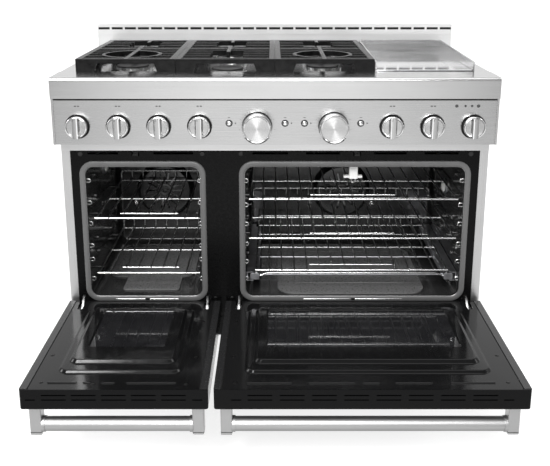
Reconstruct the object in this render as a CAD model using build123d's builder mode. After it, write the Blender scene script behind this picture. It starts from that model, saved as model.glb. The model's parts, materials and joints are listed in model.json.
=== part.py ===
from build123d import *
import os

os.makedirs("parts", exist_ok=True)

# ---------------------------------------------------------------------------
# Freestanding double-oven gas range with drop-down doors standing open.
# Millimetres. X to the right seen from the front, front faces -Y, Z up.
# Origin: centre of the footprint (doors open), on the floor.
# ---------------------------------------------------------------------------

# ---- driving dimensions ----------------------------------------------------
YF = -47.5            # plane of the oven front frame in the row frame
HALF_W = 608.0        # half of the overall width
BODY_W = 605.0        # half width over the side panels
Z_DECK = 914.0        # cooktop deck height
Z_TOP = 1000.0        # top of the backguard
Y_BACK = 620.0        # rear face, measured from the frame plane
BASE_Z = 103.0        # underside of the chassis
SHEET = 2.0           # sheet metal gauge used for panels
PANEL_Y = -64.0       # control panel face
NOSE_Y = -72.0        # bullnose face
PANEL_Z0, PANEL_Z1 = 728.6, 857.0
FRAME_Z0, FRAME_Z1 = 200.0, 697.0

# oven mouths: x0, x1, z0, z1
MOUTH_L = (-541.0, -215.0, 255.0, 649.0)
MOUTH_R = (-86.0, 542.0, 255.0, 649.0)
CAV_Y0, CAV_Y1 = 3.0, 483.0
CAV_Z0, CAV_Z1 = 252.0, 652.0

# doors (open): x0, x1
DOOR_L = (-605.0, -159.0)
DOOR_R = (-146.0, 605.0)
DOOR_FRONT, DOOR_REAR = -525.0, -14.0
DOOR_Z0, DOOR_Z1 = 191.0, 243.0
HINGE_Y, HINGE_Z = -30.0, 219.0
PIN_R, PIN_BORE_R = 4.0, 4.05
ARM_X_L = (-565.0, -199.0)
ARM_X_R = (-106.0, 565.0)

# controls
KNOB_X = (-539.0, -427.7, -317.4, -206.0, 318.4, 429.4, 540.4)
DIAL_X = (-49.0, 158.9)
BUTTON_X = (-125.5, 27.2, 80.2, 233.6)
RINGED = (1, 3)
KNOB_Z, BUTTON_Z = 780.0, 788.5
LED_X, LED_Z = (493.0, 516.6, 534.5, 552.0), 836.0

# cooktop: four equal bays
BAY = 281.5
TUB_X, TUB_Y0, TUB_Y1, TUB_Z = 564.0, 50.0, 578.0, 890.0
GRATE_X = (-563.0, -281.5, 0.0)       # left edges
GRATE_W = 281.0
GRATE_Z1 = 949.0
GRATE_Y0, GRATE_Y1 = 52.0, 574.0
BURNER_Y = (175.0, 450.0)
BURNER_X = (-422.0, -141.0, 140.5)


def Y(v):
    """Depth measured from the front frame plane, in the row frame."""
    return v + YF


def block(x0, x1, y0, y1, z0, z1, mode=Mode.ADD):
    """Axis-aligned block between two corners, depth from the frame plane."""
    with Locations(((x0 + x1) / 2, Y((y0 + y1) / 2), (z0 + z1) / 2)):
        return Box(x1 - x0, y1 - y0, z1 - z0, mode=mode)


def rod_x(x0, x1, y, z, r, mode=Mode.ADD):
    with Locations(((x0 + x1) / 2, Y(y), z)):
        return Cylinder(r, x1 - x0, rotation=(0, 90, 0), mode=mode)


def rod_y(x, y0, y1, z, r, mode=Mode.ADD):
    with Locations((x, Y((y0 + y1) / 2), z)):
        return Cylinder(r, y1 - y0, rotation=(90, 0, 0), mode=mode)


def rod_z(x, y, z0, z1, r, mode=Mode.ADD):
    with Locations((x, Y(y), (z0 + z1) / 2)):
        return Cylinder(r, z1 - z0, mode=mode)


written = []


def write(builder, name):
    shape = builder.part if hasattr(builder, "part") else builder
    shape.label = name
    export_step(shape, "parts/" + name + ".step")
    written.append(name)


def gather(*builders):
    """Several finished solids that share one node without being fused."""
    solids = []
    for b in builders:
        solids.extend(b.part.solids())
    return Compound(solids)


# ===========================================================================
# chassis
# ===========================================================================
with BuildPart() as base_frame:
    # base pan
    block(-600, 600, 46, 612, BASE_Z, BASE_Z + 3)
    # two folded runners under the side walls and two cross members
    for s in (-1, 1):
        x0, x1 = sorted((s * 560.0, s * 600.0))
        block(x0, x1, 60, 604, BASE_Z + 3, BASE_Z + 37)
        block(x0 + 3, x1 - 3, 60, 604, BASE_Z + 6, BASE_Z + 34, mode=Mode.SUBTRACT)
    # levelling sockets
    for sx in (-1, 1):
        for yy in (92.0, 560.0):
            rod_z(sx * 530.0, yy, BASE_Z + 3, BASE_Z + 28, 17)
            rod_z(sx * 530.0, yy, BASE_Z, BASE_Z + 28, 10.0, mode=Mode.SUBTRACT)
write(base_frame, "base_frame")

with BuildPart() as leveling_legs:
    for sx in (-1, 1):
        for yy in (92.0, 560.0):
            rod_z(sx * 530.0, yy, 0, 12, 28)
            rod_z(sx * 530.0, yy, 12, 96, 19)
            rod_z(sx * 530.0, yy, 96, 102.8, 14)
            rod_z(sx * 530.0, yy, 102.8, 126, 9.8)
    chamfer(leveling_legs.edges().filter_by(GeomType.CIRCLE).group_by(Axis.Z)[0], 2)
write(leveling_legs, "leveling_legs")

with BuildPart() as kick_panel:
    block(-598, 598, 42, 44, 108, 196)
    block(-598, 598, 44, 58, 194, 196)
    # air intake slots
    with Locations(*[(-540.0 + 60.0 * i, Y(43), 168.0) for i in range(19)]):
        Box(40, 8, 5, mode=Mode.SUBTRACT)
write(kick_panel, "kick_panel")

with BuildPart() as side_panels:
    for s in (-1, 1):
        x0, x1 = sorted((s * 603.0, s * 605.0))
        block(x0, x1, 0.2, 616, BASE_Z, Z_DECK - 2.6)
        # bright front return beside the ovens
        x0, x1 = sorted((s * 581.0, s * 605.0))
        block(x0, x1, 0.0, 2.0, FRAME_Z0, FRAME_Z1)
write(side_panels, "side_panels")

with BuildPart() as rear_panel:
    block(-602.8, 602.8, 616, 618, BASE_Z, 912)
    # motor vent slots
    for cx in (-378.0, 230.0):
        for i in range(6):
            block(cx - 60, cx + 60, 612, 622, 420 + 14 * i, 425 + 14 * i, mode=Mode.SUBTRACT)
    # gas inlet hole
    rod_y(430, 612, 622, 170, 16.0, mode=Mode.SUBTRACT)
write(rear_panel, "rear_panel")


# ===========================================================================
# oven front
# ===========================================================================
def mouth_cut(m, r, y0, y1, grow=0.0, mode=Mode.SUBTRACT):
    with BuildSketch(Plane.XZ.offset(-Y(y1))) as s:
        with Locations(((m[0] + m[1]) / 2, (m[2] + m[3]) / 2)):
            RectangleRounded(m[1] - m[0] + 2 * grow, m[3] - m[2] + 2 * grow, r)
    extrude(s.sketch, amount=y1 - y0, mode=mode)


FRAME_SLOTS = ((-531, -445), (-345, -232), (-64, 37), (88, 184.5), (281, 373), (424, 520))
LATCH_X = (-396.0, 233.0)
BUMPER_X = (-552.0, -206.0, -97.0, 555.0)
with BuildPart() as front_frame:
    block(-580.7, 580.7, 0, 3, FRAME_Z0, FRAME_Z1)
    mouth_cut(MOUTH_L, 24, -2, 5)
    mouth_cut(MOUTH_R, 24, -2, 5)
    for x0, x1 in FRAME_SLOTS:
        with Locations(((x0 + x1) / 2, Y(1.5), 688.5)):
            Box(x1 - x0, 10, 6.5, mode=Mode.SUBTRACT)
    for lx in LATCH_X:
        block(lx - 11, lx + 11, -3, 6, 680, 694, mode=Mode.SUBTRACT)
    for ax in ARM_X_L + ARM_X_R:
        block(ax - 4.5, ax + 4.5, -3, 6, 229, 257, mode=Mode.SUBTRACT)
write(front_frame, "front_frame")

with BuildPart() as front_trim:
    block(-605, 605, -2, 0, FRAME_Z1, PANEL_Z0)
    block(-602.8, 602.8, 0, 14, PANEL_Z0 - 2, PANEL_Z0)
write(front_trim, "front_trim")


def oven_box(m):
    """Five flat enamelled walls of one oven, open to the front."""
    x0, x1 = m[0], m[1]
    with BuildPart() as walls:
        block(x0 - 3, x0, CAV_Y0 + 0.2, CAV_Y1, CAV_Z0 - 1, CAV_Z1 + 1)
        block(x1, x1 + 3, CAV_Y0 + 0.2, CAV_Y1, CAV_Z0 - 1, CAV_Z1 + 1)
        block(x0 + 0.2, x1 - 0.2, CAV_Y0 + 0.2, CAV_Y1, CAV_Z0 - 3, CAV_Z0)
        block(x0 + 0.2, x1 - 0.2, CAV_Y0 + 0.2, CAV_Y1, CAV_Z1, CAV_Z1 + 3)
        block(x0 - 3, x1 + 3, CAV_Y1 + 0.2, CAV_Y1 + 3, CAV_Z0 - 3, CAV_Z1 + 3)
    return walls


# rack heights: z of the cross bars of each rack
RACK_R = 3.0
WIRE_R = 2.5
ZL_UP, ZL_LO = 488.0, 317.0
ZR_UP, ZR_MID = 546.0, 426.0
ZR_ROLL = 326.0
PEG_R = 5.0
PEG_Y = (96.0, 386.0)


def pegs(m, levels, inset):
    with BuildPart() as p:
        for z in levels:
            zc = z - RACK_R - 0.3 - PEG_R
            for yy in PEG_Y:
                rod_x(m[0], m[0] + inset, yy, zc, PEG_R)
                rod_x(m[1] - inset, m[1], yy, zc, PEG_R)
    return p


with BuildPart() as gaskets:
    for m, ox0, ox1 in ((MOUTH_L, 18.0, 17.0), (MOUTH_R, 17.0, 20.5)):
        outer = (m[0] - ox0, m[1] + ox1, m[2] - 15.0, m[3] + 15.0)
        mouth_cut(outer, 38, -5.4, 0, mode=Mode.ADD)
        mouth_cut(m, 24, -7, 1)
write(gaskets, "gaskets")

# fan covers, one disc of radial slots on a raised plate in each oven
FAN_L, FAN_R = (-378.0, 446.0), (230.0, 444.0)


def fan_cover(cx, cz, w, h):
    block(cx - w / 2, cx + w / 2, 453, 455, cz - h / 2, cz + h / 2)
    block(cx - w / 2, cx - w / 2 + 2, 455, 482.8, cz - h / 2, cz + h / 2)
    block(cx + w / 2 - 2, cx + w / 2, 455, 482.8, cz - h / 2, cz + h / 2)
    with BuildSketch(Plane.XZ.offset(-Y(460))) as s:
        with Locations((cx, cz)):
            with PolarLocations(46, 14):
                SlotOverall(40, 7)
            with PolarLocations(15, 6):
                SlotOverall(12, 5)
    extrude(s.sketch, amount=12, mode=Mode.SUBTRACT)


with BuildPart() as fan_covers:
    fan_cover(FAN_L[0], FAN_L[1], 190, 190)
    fan_cover(FAN_R[0], FAN_R[1], 200, 190)
write(fan_covers, "fan_covers")

with BuildPart() as fan_motors:
    for cx, cz in (FAN_L, FAN_R):
        # bearing boss, motor can and mounting strap behind the oven
        rod_y(cx, 486.2, 500, cz, 16)
        rod_y(cx, 500, 560, cz, 42)
        block(cx - 70, cx + 70, 497, 500, cz - 14, cz + 14)
        rod_y(cx, 480, 556, cz, 4.05, mode=Mode.SUBTRACT)
write(fan_motors, "fan_motors")


def fan_wheel(cx, cz):
    with BuildPart() as w:
        rod_y(cx, 459, 478, cz, 14)
        rod_y(cx, 474, 476, cz, 62)
        with Locations((cx, Y(466.7), cz)):
            with Locations(*[Location((0, 0, 0), (0, 7.0 + 30.0 * i, 0)) for i in range(12)]):
                with Locations((35.5, 0, 0)):
                    Box(49, 15.4, 1.6)
        rod_y(cx, 477, 540, cz, 4.0)
    return w


# the shaft passes through the rear oven wall
for liner_name, (cx, cz), m, levels, inset in (
        ("oven_liner_left", FAN_L, MOUTH_L, (ZL_UP, ZL_LO), 22.0),
        ("oven_liner_right", FAN_R, MOUTH_R, (ZR_UP, ZR_MID, 295.0), 14.0)):
    box = oven_box(m)
    with BuildPart() as drilled:
        add(box.part)
        rod_y(cx, 480, 490, cz, 8.0, mode=Mode.SUBTRACT)
    write(gather(drilled, pegs(m, levels, inset)), liner_name)

write(fan_wheel(*FAN_L), "fan_wheel_left")
write(fan_wheel(*FAN_R), "fan_wheel_right")

# burners inside the ovens: a broil loop under each roof and a bake tube
# below each floor plate
with BuildPart() as oven_burners:
    for m in (MOUTH_L, MOUTH_R):
        cx = (m[0] + m[1]) / 2
        n = 3 if m is MOUTH_R else 2
        w = 380.0 if m is MOUTH_R else 180.0
        rod_x(cx - w / 2 - 5, cx + w / 2 + 5, 90, 634, 5)
        rod_x(cx - w / 2 - 5, cx + w / 2 + 5, 420, 634, 5)
        for i in range(n):
            xx = cx - w / 2 + w * i / (n - 1)
            rod_y(xx, 90, 420, 634, 4.2)
            rod_z(xx, 420, 634, 651.8, 3.4)
    for m in (MOUTH_L, MOUTH_R):
        cx = (m[0] + m[1]) / 2
        rod_y(cx, 60, 440, 236, 12)
    # white ceramic igniter hanging from the roof of the wide oven
    block(216, 240, 40, 62, 602, 651.8)
    block(200, 254, 44, 58, 604, 611)
write(oven_burners, "oven_burners")

with BuildPart() as floor_plates:
    with BuildSketch(Plane.XY.offset(CAV_Z0 + 0.2)) as s:
        with Locations((-378, Y(240))):
            RectangleRounded(262, 330, 34)
        with Locations((228, Y(240))):
            RectangleRounded(540, 330, 34)
    extrude(s.sketch, amount=6)
    with BuildSketch(Plane.XY.offset(CAV_Z0 + 4.2)) as s:
        with Locations((-378, Y(240))):
            RectangleRounded(226, 294, 26)
        with Locations((228, Y(240))):
            RectangleRounded(504, 294, 26)
    extrude(s.sketch, amount=6, mode=Mode.SUBTRACT)
write(floor_plates, "floor_plates")


# ===========================================================================
# racks
# ===========================================================================
def rack(x0, x1, zc, n_wires, grip, y0=20.0, y1=450.0, low_rails=True):
    """Chromed wire rack: runners and cross bars below, long wires on top,
    rear stop turned up, hand gap in the middle of the front."""
    zw = zc + 4.5
    with BuildPart() as r:
        for x in (x0 + RACK_R, x1 - RACK_R):
            rod_y(x, y0 - 1.0, y1 - 1.0, zc, RACK_R)
        for yy, rr in ((y0 + RACK_R, 3.6), (70.0, 2.7), (218.0, 2.7), (342.0, 2.7)):
            rod_x(x0 + 1.0, x1 - 1.0, yy, zc, rr)
        rod_x(x0 + 1.0, x1 - 1.0, y1 - 4.2, zc, 2.7)
        rod_x(x0 + 0.6, x1 - 0.6, y1 - 4.2, zc + 32, 3.1)
        pitch = (x1 - x0 - 2 * RACK_R) / (n_wires - 1)
        for i in range(n_wires):
            x = x0 + RACK_R + pitch * i
            start = 68.0 if grip[0] < x < grip[1] else y0 + 1.5
            if 0 < i < n_wires - 1:
                rod_y(x, start, y1 - 4.0, zw, WIRE_R)
            rod_z(x, y1 - 4.2, zc, zc + 32, 2.1)
    return r


write(rack(-526, -223, ZL_UP, 9, (-450, -300)), "rack_left_upper")
write(rack(-526, -223, ZL_LO, 9, (-450, -300)), "rack_left_lower")
write(rack(-76, 532, ZR_UP, 17, (115, 345)), "rack_right_upper")
write(rack(-76, 532, ZR_MID, 17, (115, 345)), "rack_right_middle")
# roll-out rack: the same wire form carried on two slide members
with BuildPart() as rollout_rack:
    add(rack(-58, 514, ZR_ROLL, 16, (115, 345)).part)
    for x0, x1, xr in ((-74.0, -46.0, -55.0), (502.0, 530.0, 511.0)):
        block(x0, x1, 22, 452, 296, 316)
        for y0 in (25.0, 425.0):
            block(xr - 2.2, xr + 2.2, y0, y0 + 16, 314, 325)
    rod_x(-47, 503, 30, 311, 2.8)
write(rollout_rack, "rollout_rack")

with BuildPart() as rollout_base:
    # outer slide channels on the oven walls, tied by two low cross rods
    for x0, x1 in ((-84.0, -64.0), (520.0, 540.0)):
        block(x0, x1, 24, 470, 292, 294.5)
        block(x0, x1, 24, 470, 317.5, 320)
        xa = x0 if x0 < 0 else x1 - 3
        block(xa, xa + 3, 24, 470, 294, 318)
    rod_x(-66, 522, 77, 290.5, 3.3)
    rod_x(-66, 522, 225, 290.5, 3.3)
write(rollout_base, "rollout_base")


# ===========================================================================
# doors (modelled open, hanging level in front of the oven)
# ===========================================================================
def door_skin(x0, x1, arms, n_slits, pitch, win):
    with BuildPart() as d:
        block(x0, x1, DOOR_FRONT, DOOR_REAR, DOOR_Z0, DOOR_Z1 + 1.0)
        edges = d.edges().filter_by(Axis.Z).sort_by(Axis.Y)[:2]
        fillet(edges, 6)
        fillet(d.faces().sort_by(Axis.Z)[0].edges().sort_by(Axis.Y)[0], 4)
        block(x0 + 2, x1 - 2, DOOR_FRONT + 2, DOOR_REAR - 2, DOOR_Z0 + 2, DOOR_Z1 + 6, mode=Mode.SUBTRACT)
        # folded rims either side, level with the inner liner
        block(x0 + 2, x0 + 19, DOOR_FRONT + 2, DOOR_REAR - 2, DOOR_Z1 - 1.0, DOOR_Z1 + 1.0)
        block(x1 - 19, x1 - 2, DOOR_FRONT + 2, DOOR_REAR - 2, DOOR_Z1 - 1.0, DOOR_Z1 + 1.0)
        # cooling slits in the front edge
        cx = (x0 + x1) / 2
        first = cx - pitch * (n_slits - 1) / 2
        with Locations(*[(first + pitch * i, Y(DOOR_FRONT), z) for i in range(n_slits) for z in (229.0, 217.0)]):
            Box(58, 8, 3, mode=Mode.SUBTRACT)
        ends = first - 29 - 27, first + pitch * (n_slits - 1) + 29 + 27
        with Locations(*[(e, Y(DOOR_FRONT), 217.0) for e in ends]):
            Box(24, 8, 3, mode=Mode.SUBTRACT)
        # hinge slots in the rear edge
        for a in arms:
            block(a - 8, a + 8, DOOR_REAR - 6, DOOR_REAR + 4, 198, 250, mode=Mode.SUBTRACT)
        # window opening
        block(win[0], win[1], win[2], win[3], DOOR_Z0 - 4, DOOR_Z0 + 4, mode=Mode.SUBTRACT)
    return d


def door_liner(x0, x1, arms, base, plateau, win):
    """Pressed inner panel: flat border, two raised steps and a window frame."""
    with BuildPart() as d:
        block(x0 + 20, x1 - 20, DOOR_FRONT + 3, DOOR_REAR - 2.2, DOOR_Z1 - 2, DOOR_Z1)
        fillet(d.edges().filter_by(Axis.Z), 5)
        with BuildSketch(Plane.XY.offset(DOOR_Z1)) as s1:
            with Locations(((base[0] + base[1]) / 2, Y((base[2] + base[3]) / 2))):
                RectangleRounded(base[1] - base[0], base[3] - base[2], 22)
        extrude(s1.sketch, amount=7, taper=40)
        with BuildSketch(Plane.XY.offset(DOOR_Z1 + 7)) as s2:
            with Locations(((plateau[0] + plateau[1]) / 2, Y((plateau[2] + plateau[3]) / 2))):
                RectangleRounded(plateau[1] - plateau[0], plateau[3] - plateau[2], 16)
        extrude(s2.sketch, amount=9, taper=40)
        # hollow behind the steps
        with BuildSketch(Plane.XY.offset(DOOR_Z1 - 3)) as h1:
            with Locations(((plateau[0] + plateau[1]) / 2, Y((plateau[2] + plateau[3]) / 2))):
                RectangleRounded(plateau[1] - plateau[0] - 26, plateau[3] - plateau[2] - 26, 12)
        extrude(h1.sketch, amount=16, mode=Mode.SUBTRACT)
        block(win[0], win[1], win[2], win[3], DOOR_Z1 - 6, DOOR_Z1 + 30, mode=Mode.SUBTRACT)
        for a in arms:
            block(a - 8, a + 8, -70, DOOR_REAR + 3, DOOR_Z1 - 6, DOOR_Z1 + 6, mode=Mode.SUBTRACT)
    return d


def door_glass(win, cover):
    with BuildPart() as g:
        # inner pane, seated under the window frame, and outer pane
        block(win[0] - 6, win[1] + 6, win[2] - 6, win[3] + 6, DOOR_Z1 + 9, DOOR_Z1 + 13)
        block(cover[0], cover[1], cover[2], cover[3], DOOR_Z0, DOOR_Z0 + 4)
    return g


def door_handle(p0, p1):
    """Round bar between two square posts that hang from the outer face."""
    y0, y1, zb, zt = -503.0, -469.0, 110.0, 191.0
    with BuildPart() as h:
        for x0, x1 in (p0, p1):
            block(x0, x1, y0, y1, zb, zt)
        fillet(h.edges().filter_by(Axis.Z), 3)
        chamfer(h.faces().sort_by(Axis.Z)[0].edges(), 2)
    with BuildPart() as bar:
        rod_x(p0[1] - 2, p1[0] + 2, -486, 131, 18)
        rod_x(p0[1] - 1, p0[1] + 7, -486, 131, 20)
        rod_x(p1[0] - 7, p1[0] + 1, -486, 131, 20)
        add(h.part)
    return bar


def door_hinges(arms):
    with BuildPart() as k:
        for a in arms:
            block(a - 7.5, a + 7.5, -122, -20, DOOR_Z0 + 2.2, DOOR_Z0 + 5)
            for s in (-1, 1):
                x0, x1 = sorted((a + s * 4.2, a + s * 7.5))
                block(x0, x1, -122, -20, DOOR_Z0 + 5, 232)
            rod_x(a - 12, a + 12, HINGE_Y, HINGE_Z, PIN_BORE_R, mode=Mode.SUBTRACT)
            # spring link inside the door edge
            rod_y(a, -116, -60, 208, 3.5)
            block(a - 4.2, a + 4.2, -122, -114, 198, 216)
    return k


LINER_L = dict(base=(-534.0, -229.0, -447.0, -72.0), plateau=(-515.0, -248.0, -410.0, -84.0), win=(-478.0, -286.0, -331.0, -112.0))
LINER_R = dict(base=(-75.0, 532.0, -447.0, -72.0), plateau=(-54.0, 512.0, -410.0, -84.0), win=(-19.0, 477.0, -331.0, -112.0))
GLASS_L = (-500.0, -264.0, -352.0, -92.0)
GLASS_R = (-40.0, 499.0, -352.0, -92.0)

write(door_skin(*DOOR_L, ARM_X_L, 5, 70.8, GLASS_L), "door_left_skin")
write(door_liner(*DOOR_L, ARM_X_L, **LINER_L), "door_left_liner")
write(door_glass(LINER_L["win"], GLASS_L), "door_left_glass")
write(door_handle((-592, -564), (-200, -172)), "door_left_handle")
write(door_hinges(ARM_X_L), "door_left_hinges")
write(door_skin(*DOOR_R, ARM_X_R, 8, 76.0, GLASS_R), "door_right_skin")
write(door_liner(*DOOR_R, ARM_X_R, **LINER_R), "door_right_liner")
write(door_glass(LINER_R["win"], GLASS_R), "door_right_glass")
write(door_handle((-132, -104), (561, 589)), "door_right_handle")
write(door_hinges(ARM_X_R), "door_right_hinges")

# hinge arms with their pins, door latches and rubber bumpers on the frame
with BuildPart() as frame_hardware:
    for a in ARM_X_L + ARM_X_R:
        with BuildSketch(Plane.YZ.offset(a - 3)) as s:
            with BuildLine():
                Polyline((Y(40), 254), (Y(-6), 254), (Y(-36), 229), (Y(-22), 209.5), (Y(3), 232), (Y(40), 232), close=True)
            make_face()
            with Locations((Y(HINGE_Y), HINGE_Z)):
                Circle(10.5)
        extrude(s.sketch, amount=6)
        rod_x(a - 9, a + 9, HINGE_Y, HINGE_Z, PIN_R)
    for lx in LATCH_X:
        block(lx - 8, lx + 8, 4, 10, 678, 694)
        block(lx - 8, lx + 8, -4, 4, 684, 687)
        block(lx - 8, lx + 8, -4, -2, 681, 684)
    for bx in BUMPER_X:
        rod_y(bx, -3.5, 0, 687, 7)
    # bolts between and below the mouths
    for bx, bz in ((-176.0, 246.0), (-127.0, 246.0)):
        rod_y(bx, -2.0, 0, bz, 5)
write(frame_hardware, "frame_hardware")


# ===========================================================================
# control panel
# ===========================================================================
with BuildPart() as control_panel:
    block(-601.8, 601.8, PANEL_Y, PANEL_Y + SHEET, PANEL_Z0, PANEL_Z1)
    block(-601.8, 601.8, PANEL_Y + SHEET, 0, PANEL_Z0, PANEL_Z0 + SHEET)
    for x in KNOB_X + DIAL_X:
        rod_y(x, PANEL_Y - 5, PANEL_Y + 6, KNOB_Z, 7.0, mode=Mode.SUBTRACT)
    for x in BUTTON_X:
        rod_y(x, PANEL_Y - 5, PANEL_Y + 6, BUTTON_Z, 7.4, mode=Mode.SUBTRACT)
    for x in LED_X:
        rod_y(x, PANEL_Y - 5, PANEL_Y + 6, LED_Z, 2.5, mode=Mode.SUBTRACT)
write(control_panel, "control_panel")

with BuildPart() as panel_bezels:
    for x in KNOB_X:
        with BuildSketch(Plane.XZ.offset(-Y(PANEL_Y))) as s:
            with Locations((x, KNOB_Z)):
                Circle(34.5)
                Circle(30.8, mode=Mode.SUBTRACT)
        extrude(s.sketch, amount=7)
    for x in DIAL_X:
        with BuildSketch(Plane.XZ.offset(-Y(PANEL_Y))) as s:
            with Locations((x, KNOB_Z)):
                Circle(42)
                Circle(38.0, mode=Mode.SUBTRACT)
        extrude(s.sketch, amount=6)
    for x in BUTTON_X:
        with BuildSketch(Plane.XZ.offset(-Y(PANEL_Y))) as s:
            with Locations((x, BUTTON_Z)):
                Circle(9.8)
                Circle(7.4, mode=Mode.SUBTRACT)
        extrude(s.sketch, amount=2)
    for x in LED_X:
        rod_y(x, PANEL_Y - 1.2, PANEL_Y + 6, LED_Z, 2.5)
write(panel_bezels, "panel_bezels")


def knob(x):
    """Burner knob: round body with a full-width grip blade and its stem."""
    with BuildPart() as k:
        with BuildSketch(Plane.XZ.offset(-Y(-68.0))) as s:
            with Locations((x, KNOB_Z)):
                Circle(30)
        extrude(s.sketch, amount=22)
        fillet(k.edges().filter_by(GeomType.CIRCLE).sort_by(Axis.Y)[0], 2)
        with BuildSketch(Plane.XZ.offset(-Y(-89.0))) as s2:
            with Locations((x, KNOB_Z)):
                Circle(29)
                Rectangle(19, 70, mode=Mode.INTERSECT)
        extrude(s2.sketch, amount=14, taper=5)
        rod_y(x, -69, -34, KNOB_Z, 4.0)
    return k


for i, x in enumerate(KNOB_X):
    write(knob(x), "knob_%d" % (i + 1))


def dial(x):
    """Oven dial: deep spun cylinder with a raised rim round a dished face."""
    with BuildPart() as k:
        with BuildSketch(Plane.XZ.offset(-Y(-67.0))) as s:
            with Locations((x, KNOB_Z)):
                Circle(37)
        extrude(s.sketch, amount=12)
        with BuildSketch(Plane.XZ.offset(-Y(-79.0))) as s:
            with Locations((x, KNOB_Z)):
                Circle(40)
        extrude(s.sketch, amount=35)
        fillet(k.edges().filter_by(GeomType.CIRCLE).sort_by(Axis.Y)[0], 4)
        with BuildSketch(Plane.XZ.offset(-Y(-112.5))) as s:
            with Locations((x, KNOB_Z)):
                Circle(34.5)
        extrude(s.sketch, amount=5, mode=Mode.SUBTRACT)
        rod_y(x, -68, -34, KNOB_Z, 4.0)
    return k


write(dial(DIAL_X[0]), "dial_left")
write(dial(DIAL_X[1]), "dial_right")


def button(x):
    with BuildPart() as b:
        rod_y(x, -70, -56, BUTTON_Z, 7.0)
        fillet(b.edges().filter_by(GeomType.CIRCLE).sort_by(Axis.Y)[0], 1.5)
        rod_y(x, -56, -48, BUTTON_Z, 3.0)
    return b


for i, x in enumerate(BUTTON_X):
    write(button(x), "button_%d" % (i + 1))

# gas side: rail, one valve per knob, oven thermostats and the inlet pipe
with BuildPart() as gas_supply:
    rod_x(-575, 575, 2, 776, 10)
    for x in KNOB_X + DIAL_X:
        block(x - 14, x + 14, -44, 12, KNOB_Z - 16, KNOB_Z + 16)
    for x in KNOB_X + DIAL_X:
        rod_y(x, -50, -30, KNOB_Z, 4.05, mode=Mode.SUBTRACT)
    # riser from the regulator at the back
    rod_y(575, 2, 580, 776, 10)
    rod_z(575, 580, 170, 776, 10)
    rod_x(440, 575, 580, 170, 10)
    with Locations((575, Y(2), 776), (575, Y(580), 776), (575, Y(580), 170)):
        Sphere(10.4)
    # regulator body low at the back with its threaded inlet
    block(405, 455, 540, 590, 145, 195)
    rod_y(430, 590, 619, 170, 14)
    rod_z(430, 560, 195, 215, 18)
    rod_y(430, 596, 622, 170, 9.5, mode=Mode.SUBTRACT)
write(gas_supply, "gas_supply")

with BuildPart() as control_unit:
    # switch and logic box behind the buttons
    block(-140, -66, -44, -24, 772, 806)
    block(-14, 110, -44, -24, 772, 806)
    block(196, 250, -44, -24, 772, 806)
    block(-200, 300, -20, -14, 810, 850)
write(control_unit, "control_unit")


# ===========================================================================
# cooktop
# ===========================================================================
with BuildPart() as bullnose:
    block(-HALF_W, HALF_W, NOSE_Y, 48, 857, Z_DECK)
    fillet(bullnose.edges().filter_by(Axis.X).group_by(Axis.Z)[-1].sort_by(Axis.Y)[0], 9)
    # pressed from sheet: hollow behind the rounded nose, closed at the ends
    with BuildSketch(Plane.YZ.offset(-HALF_W + 2)) as s:
        with Locations((Y((NOSE_Y + 2.5 + 60) / 2), (850 + Z_DECK - 2.5) / 2)):
            Rectangle(60 - NOSE_Y - 2.5, Z_DECK - 2.5 - 850)
        fillet(s.vertices().group_by(Axis.Z)[-1].sort_by(Axis.Y)[0], 6.5)
    extrude(s.sketch, amount=2 * HALF_W - 4, mode=Mode.SUBTRACT)
    block(-HALF_W + 1, HALF_W - 1, NOSE_Y + 1, -62, 857, 859.5)
    # cheeks beside the control panel
    for s_ in (-1, 1):
        x0, x1 = sorted((s_ * (HALF_W - 6), s_ * HALF_W))
        block(x0, x1, -66, -2.2, PANEL_Z0, 858)
write(bullnose, "bullnose")

with BuildPart() as cooktop_deck:
    block(-BODY_W, BODY_W, 48.2, 586.8, Z_DECK - 2, Z_DECK)
    block(-TUB_X - 2, TUB_X + 2, TUB_Y0 - 1, TUB_Y1 + 2, TUB_Z - 2, Z_DECK - 2)
    block(-TUB_X, TUB_X, TUB_Y0 + 1, TUB_Y1, TUB_Z, Z_DECK + 4, mode=Mode.SUBTRACT)
write(cooktop_deck, "cooktop_deck")


def burner_drop(ix, iy):
    return 8.0 if (ix == 1 and iy == 0) else 0.0


with BuildPart() as burner_heads:
    for iy, by in enumerate(BURNER_Y):
        for ix, bx in enumerate(BURNER_X):
            d = burner_drop(ix, iy)
            rod_z(bx, by, TUB_Z, TUB_Z + 3, 62)
            rod_z(bx, by, TUB_Z + 3, 904 - d, 40)
            rod_z(bx, by, 904 - d, 912 - d, 48)
            with BuildSketch(Plane.XY.offset(905.5 - d)) as s:
                with Locations((bx, Y(by))):
                    with PolarLocations(44, 30):
                        Rectangle(14, 3.4)
            extrude(s.sketch, amount=8, mode=Mode.SUBTRACT)
            # spark electrode
            rod_z(bx + 54, by, TUB_Z + 3, 908 - d, 3)
write(burner_heads, "burner_heads")

with BuildPart() as burner_caps:
    for iy, by in enumerate(BURNER_Y):
        for ix, bx in enumerate(BURNER_X):
            d = burner_drop(ix, iy)
            rod_z(bx, by, 912 - d, 917 - d, 47)
    chamfer(burner_caps.edges().filter_by(GeomType.CIRCLE).filter_by(lambda e: abs(e.center().Z - 917) < 0.1 or abs(e.center().Z - 909) < 0.1), 1.5)
write(burner_caps, "burner_caps")


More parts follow.
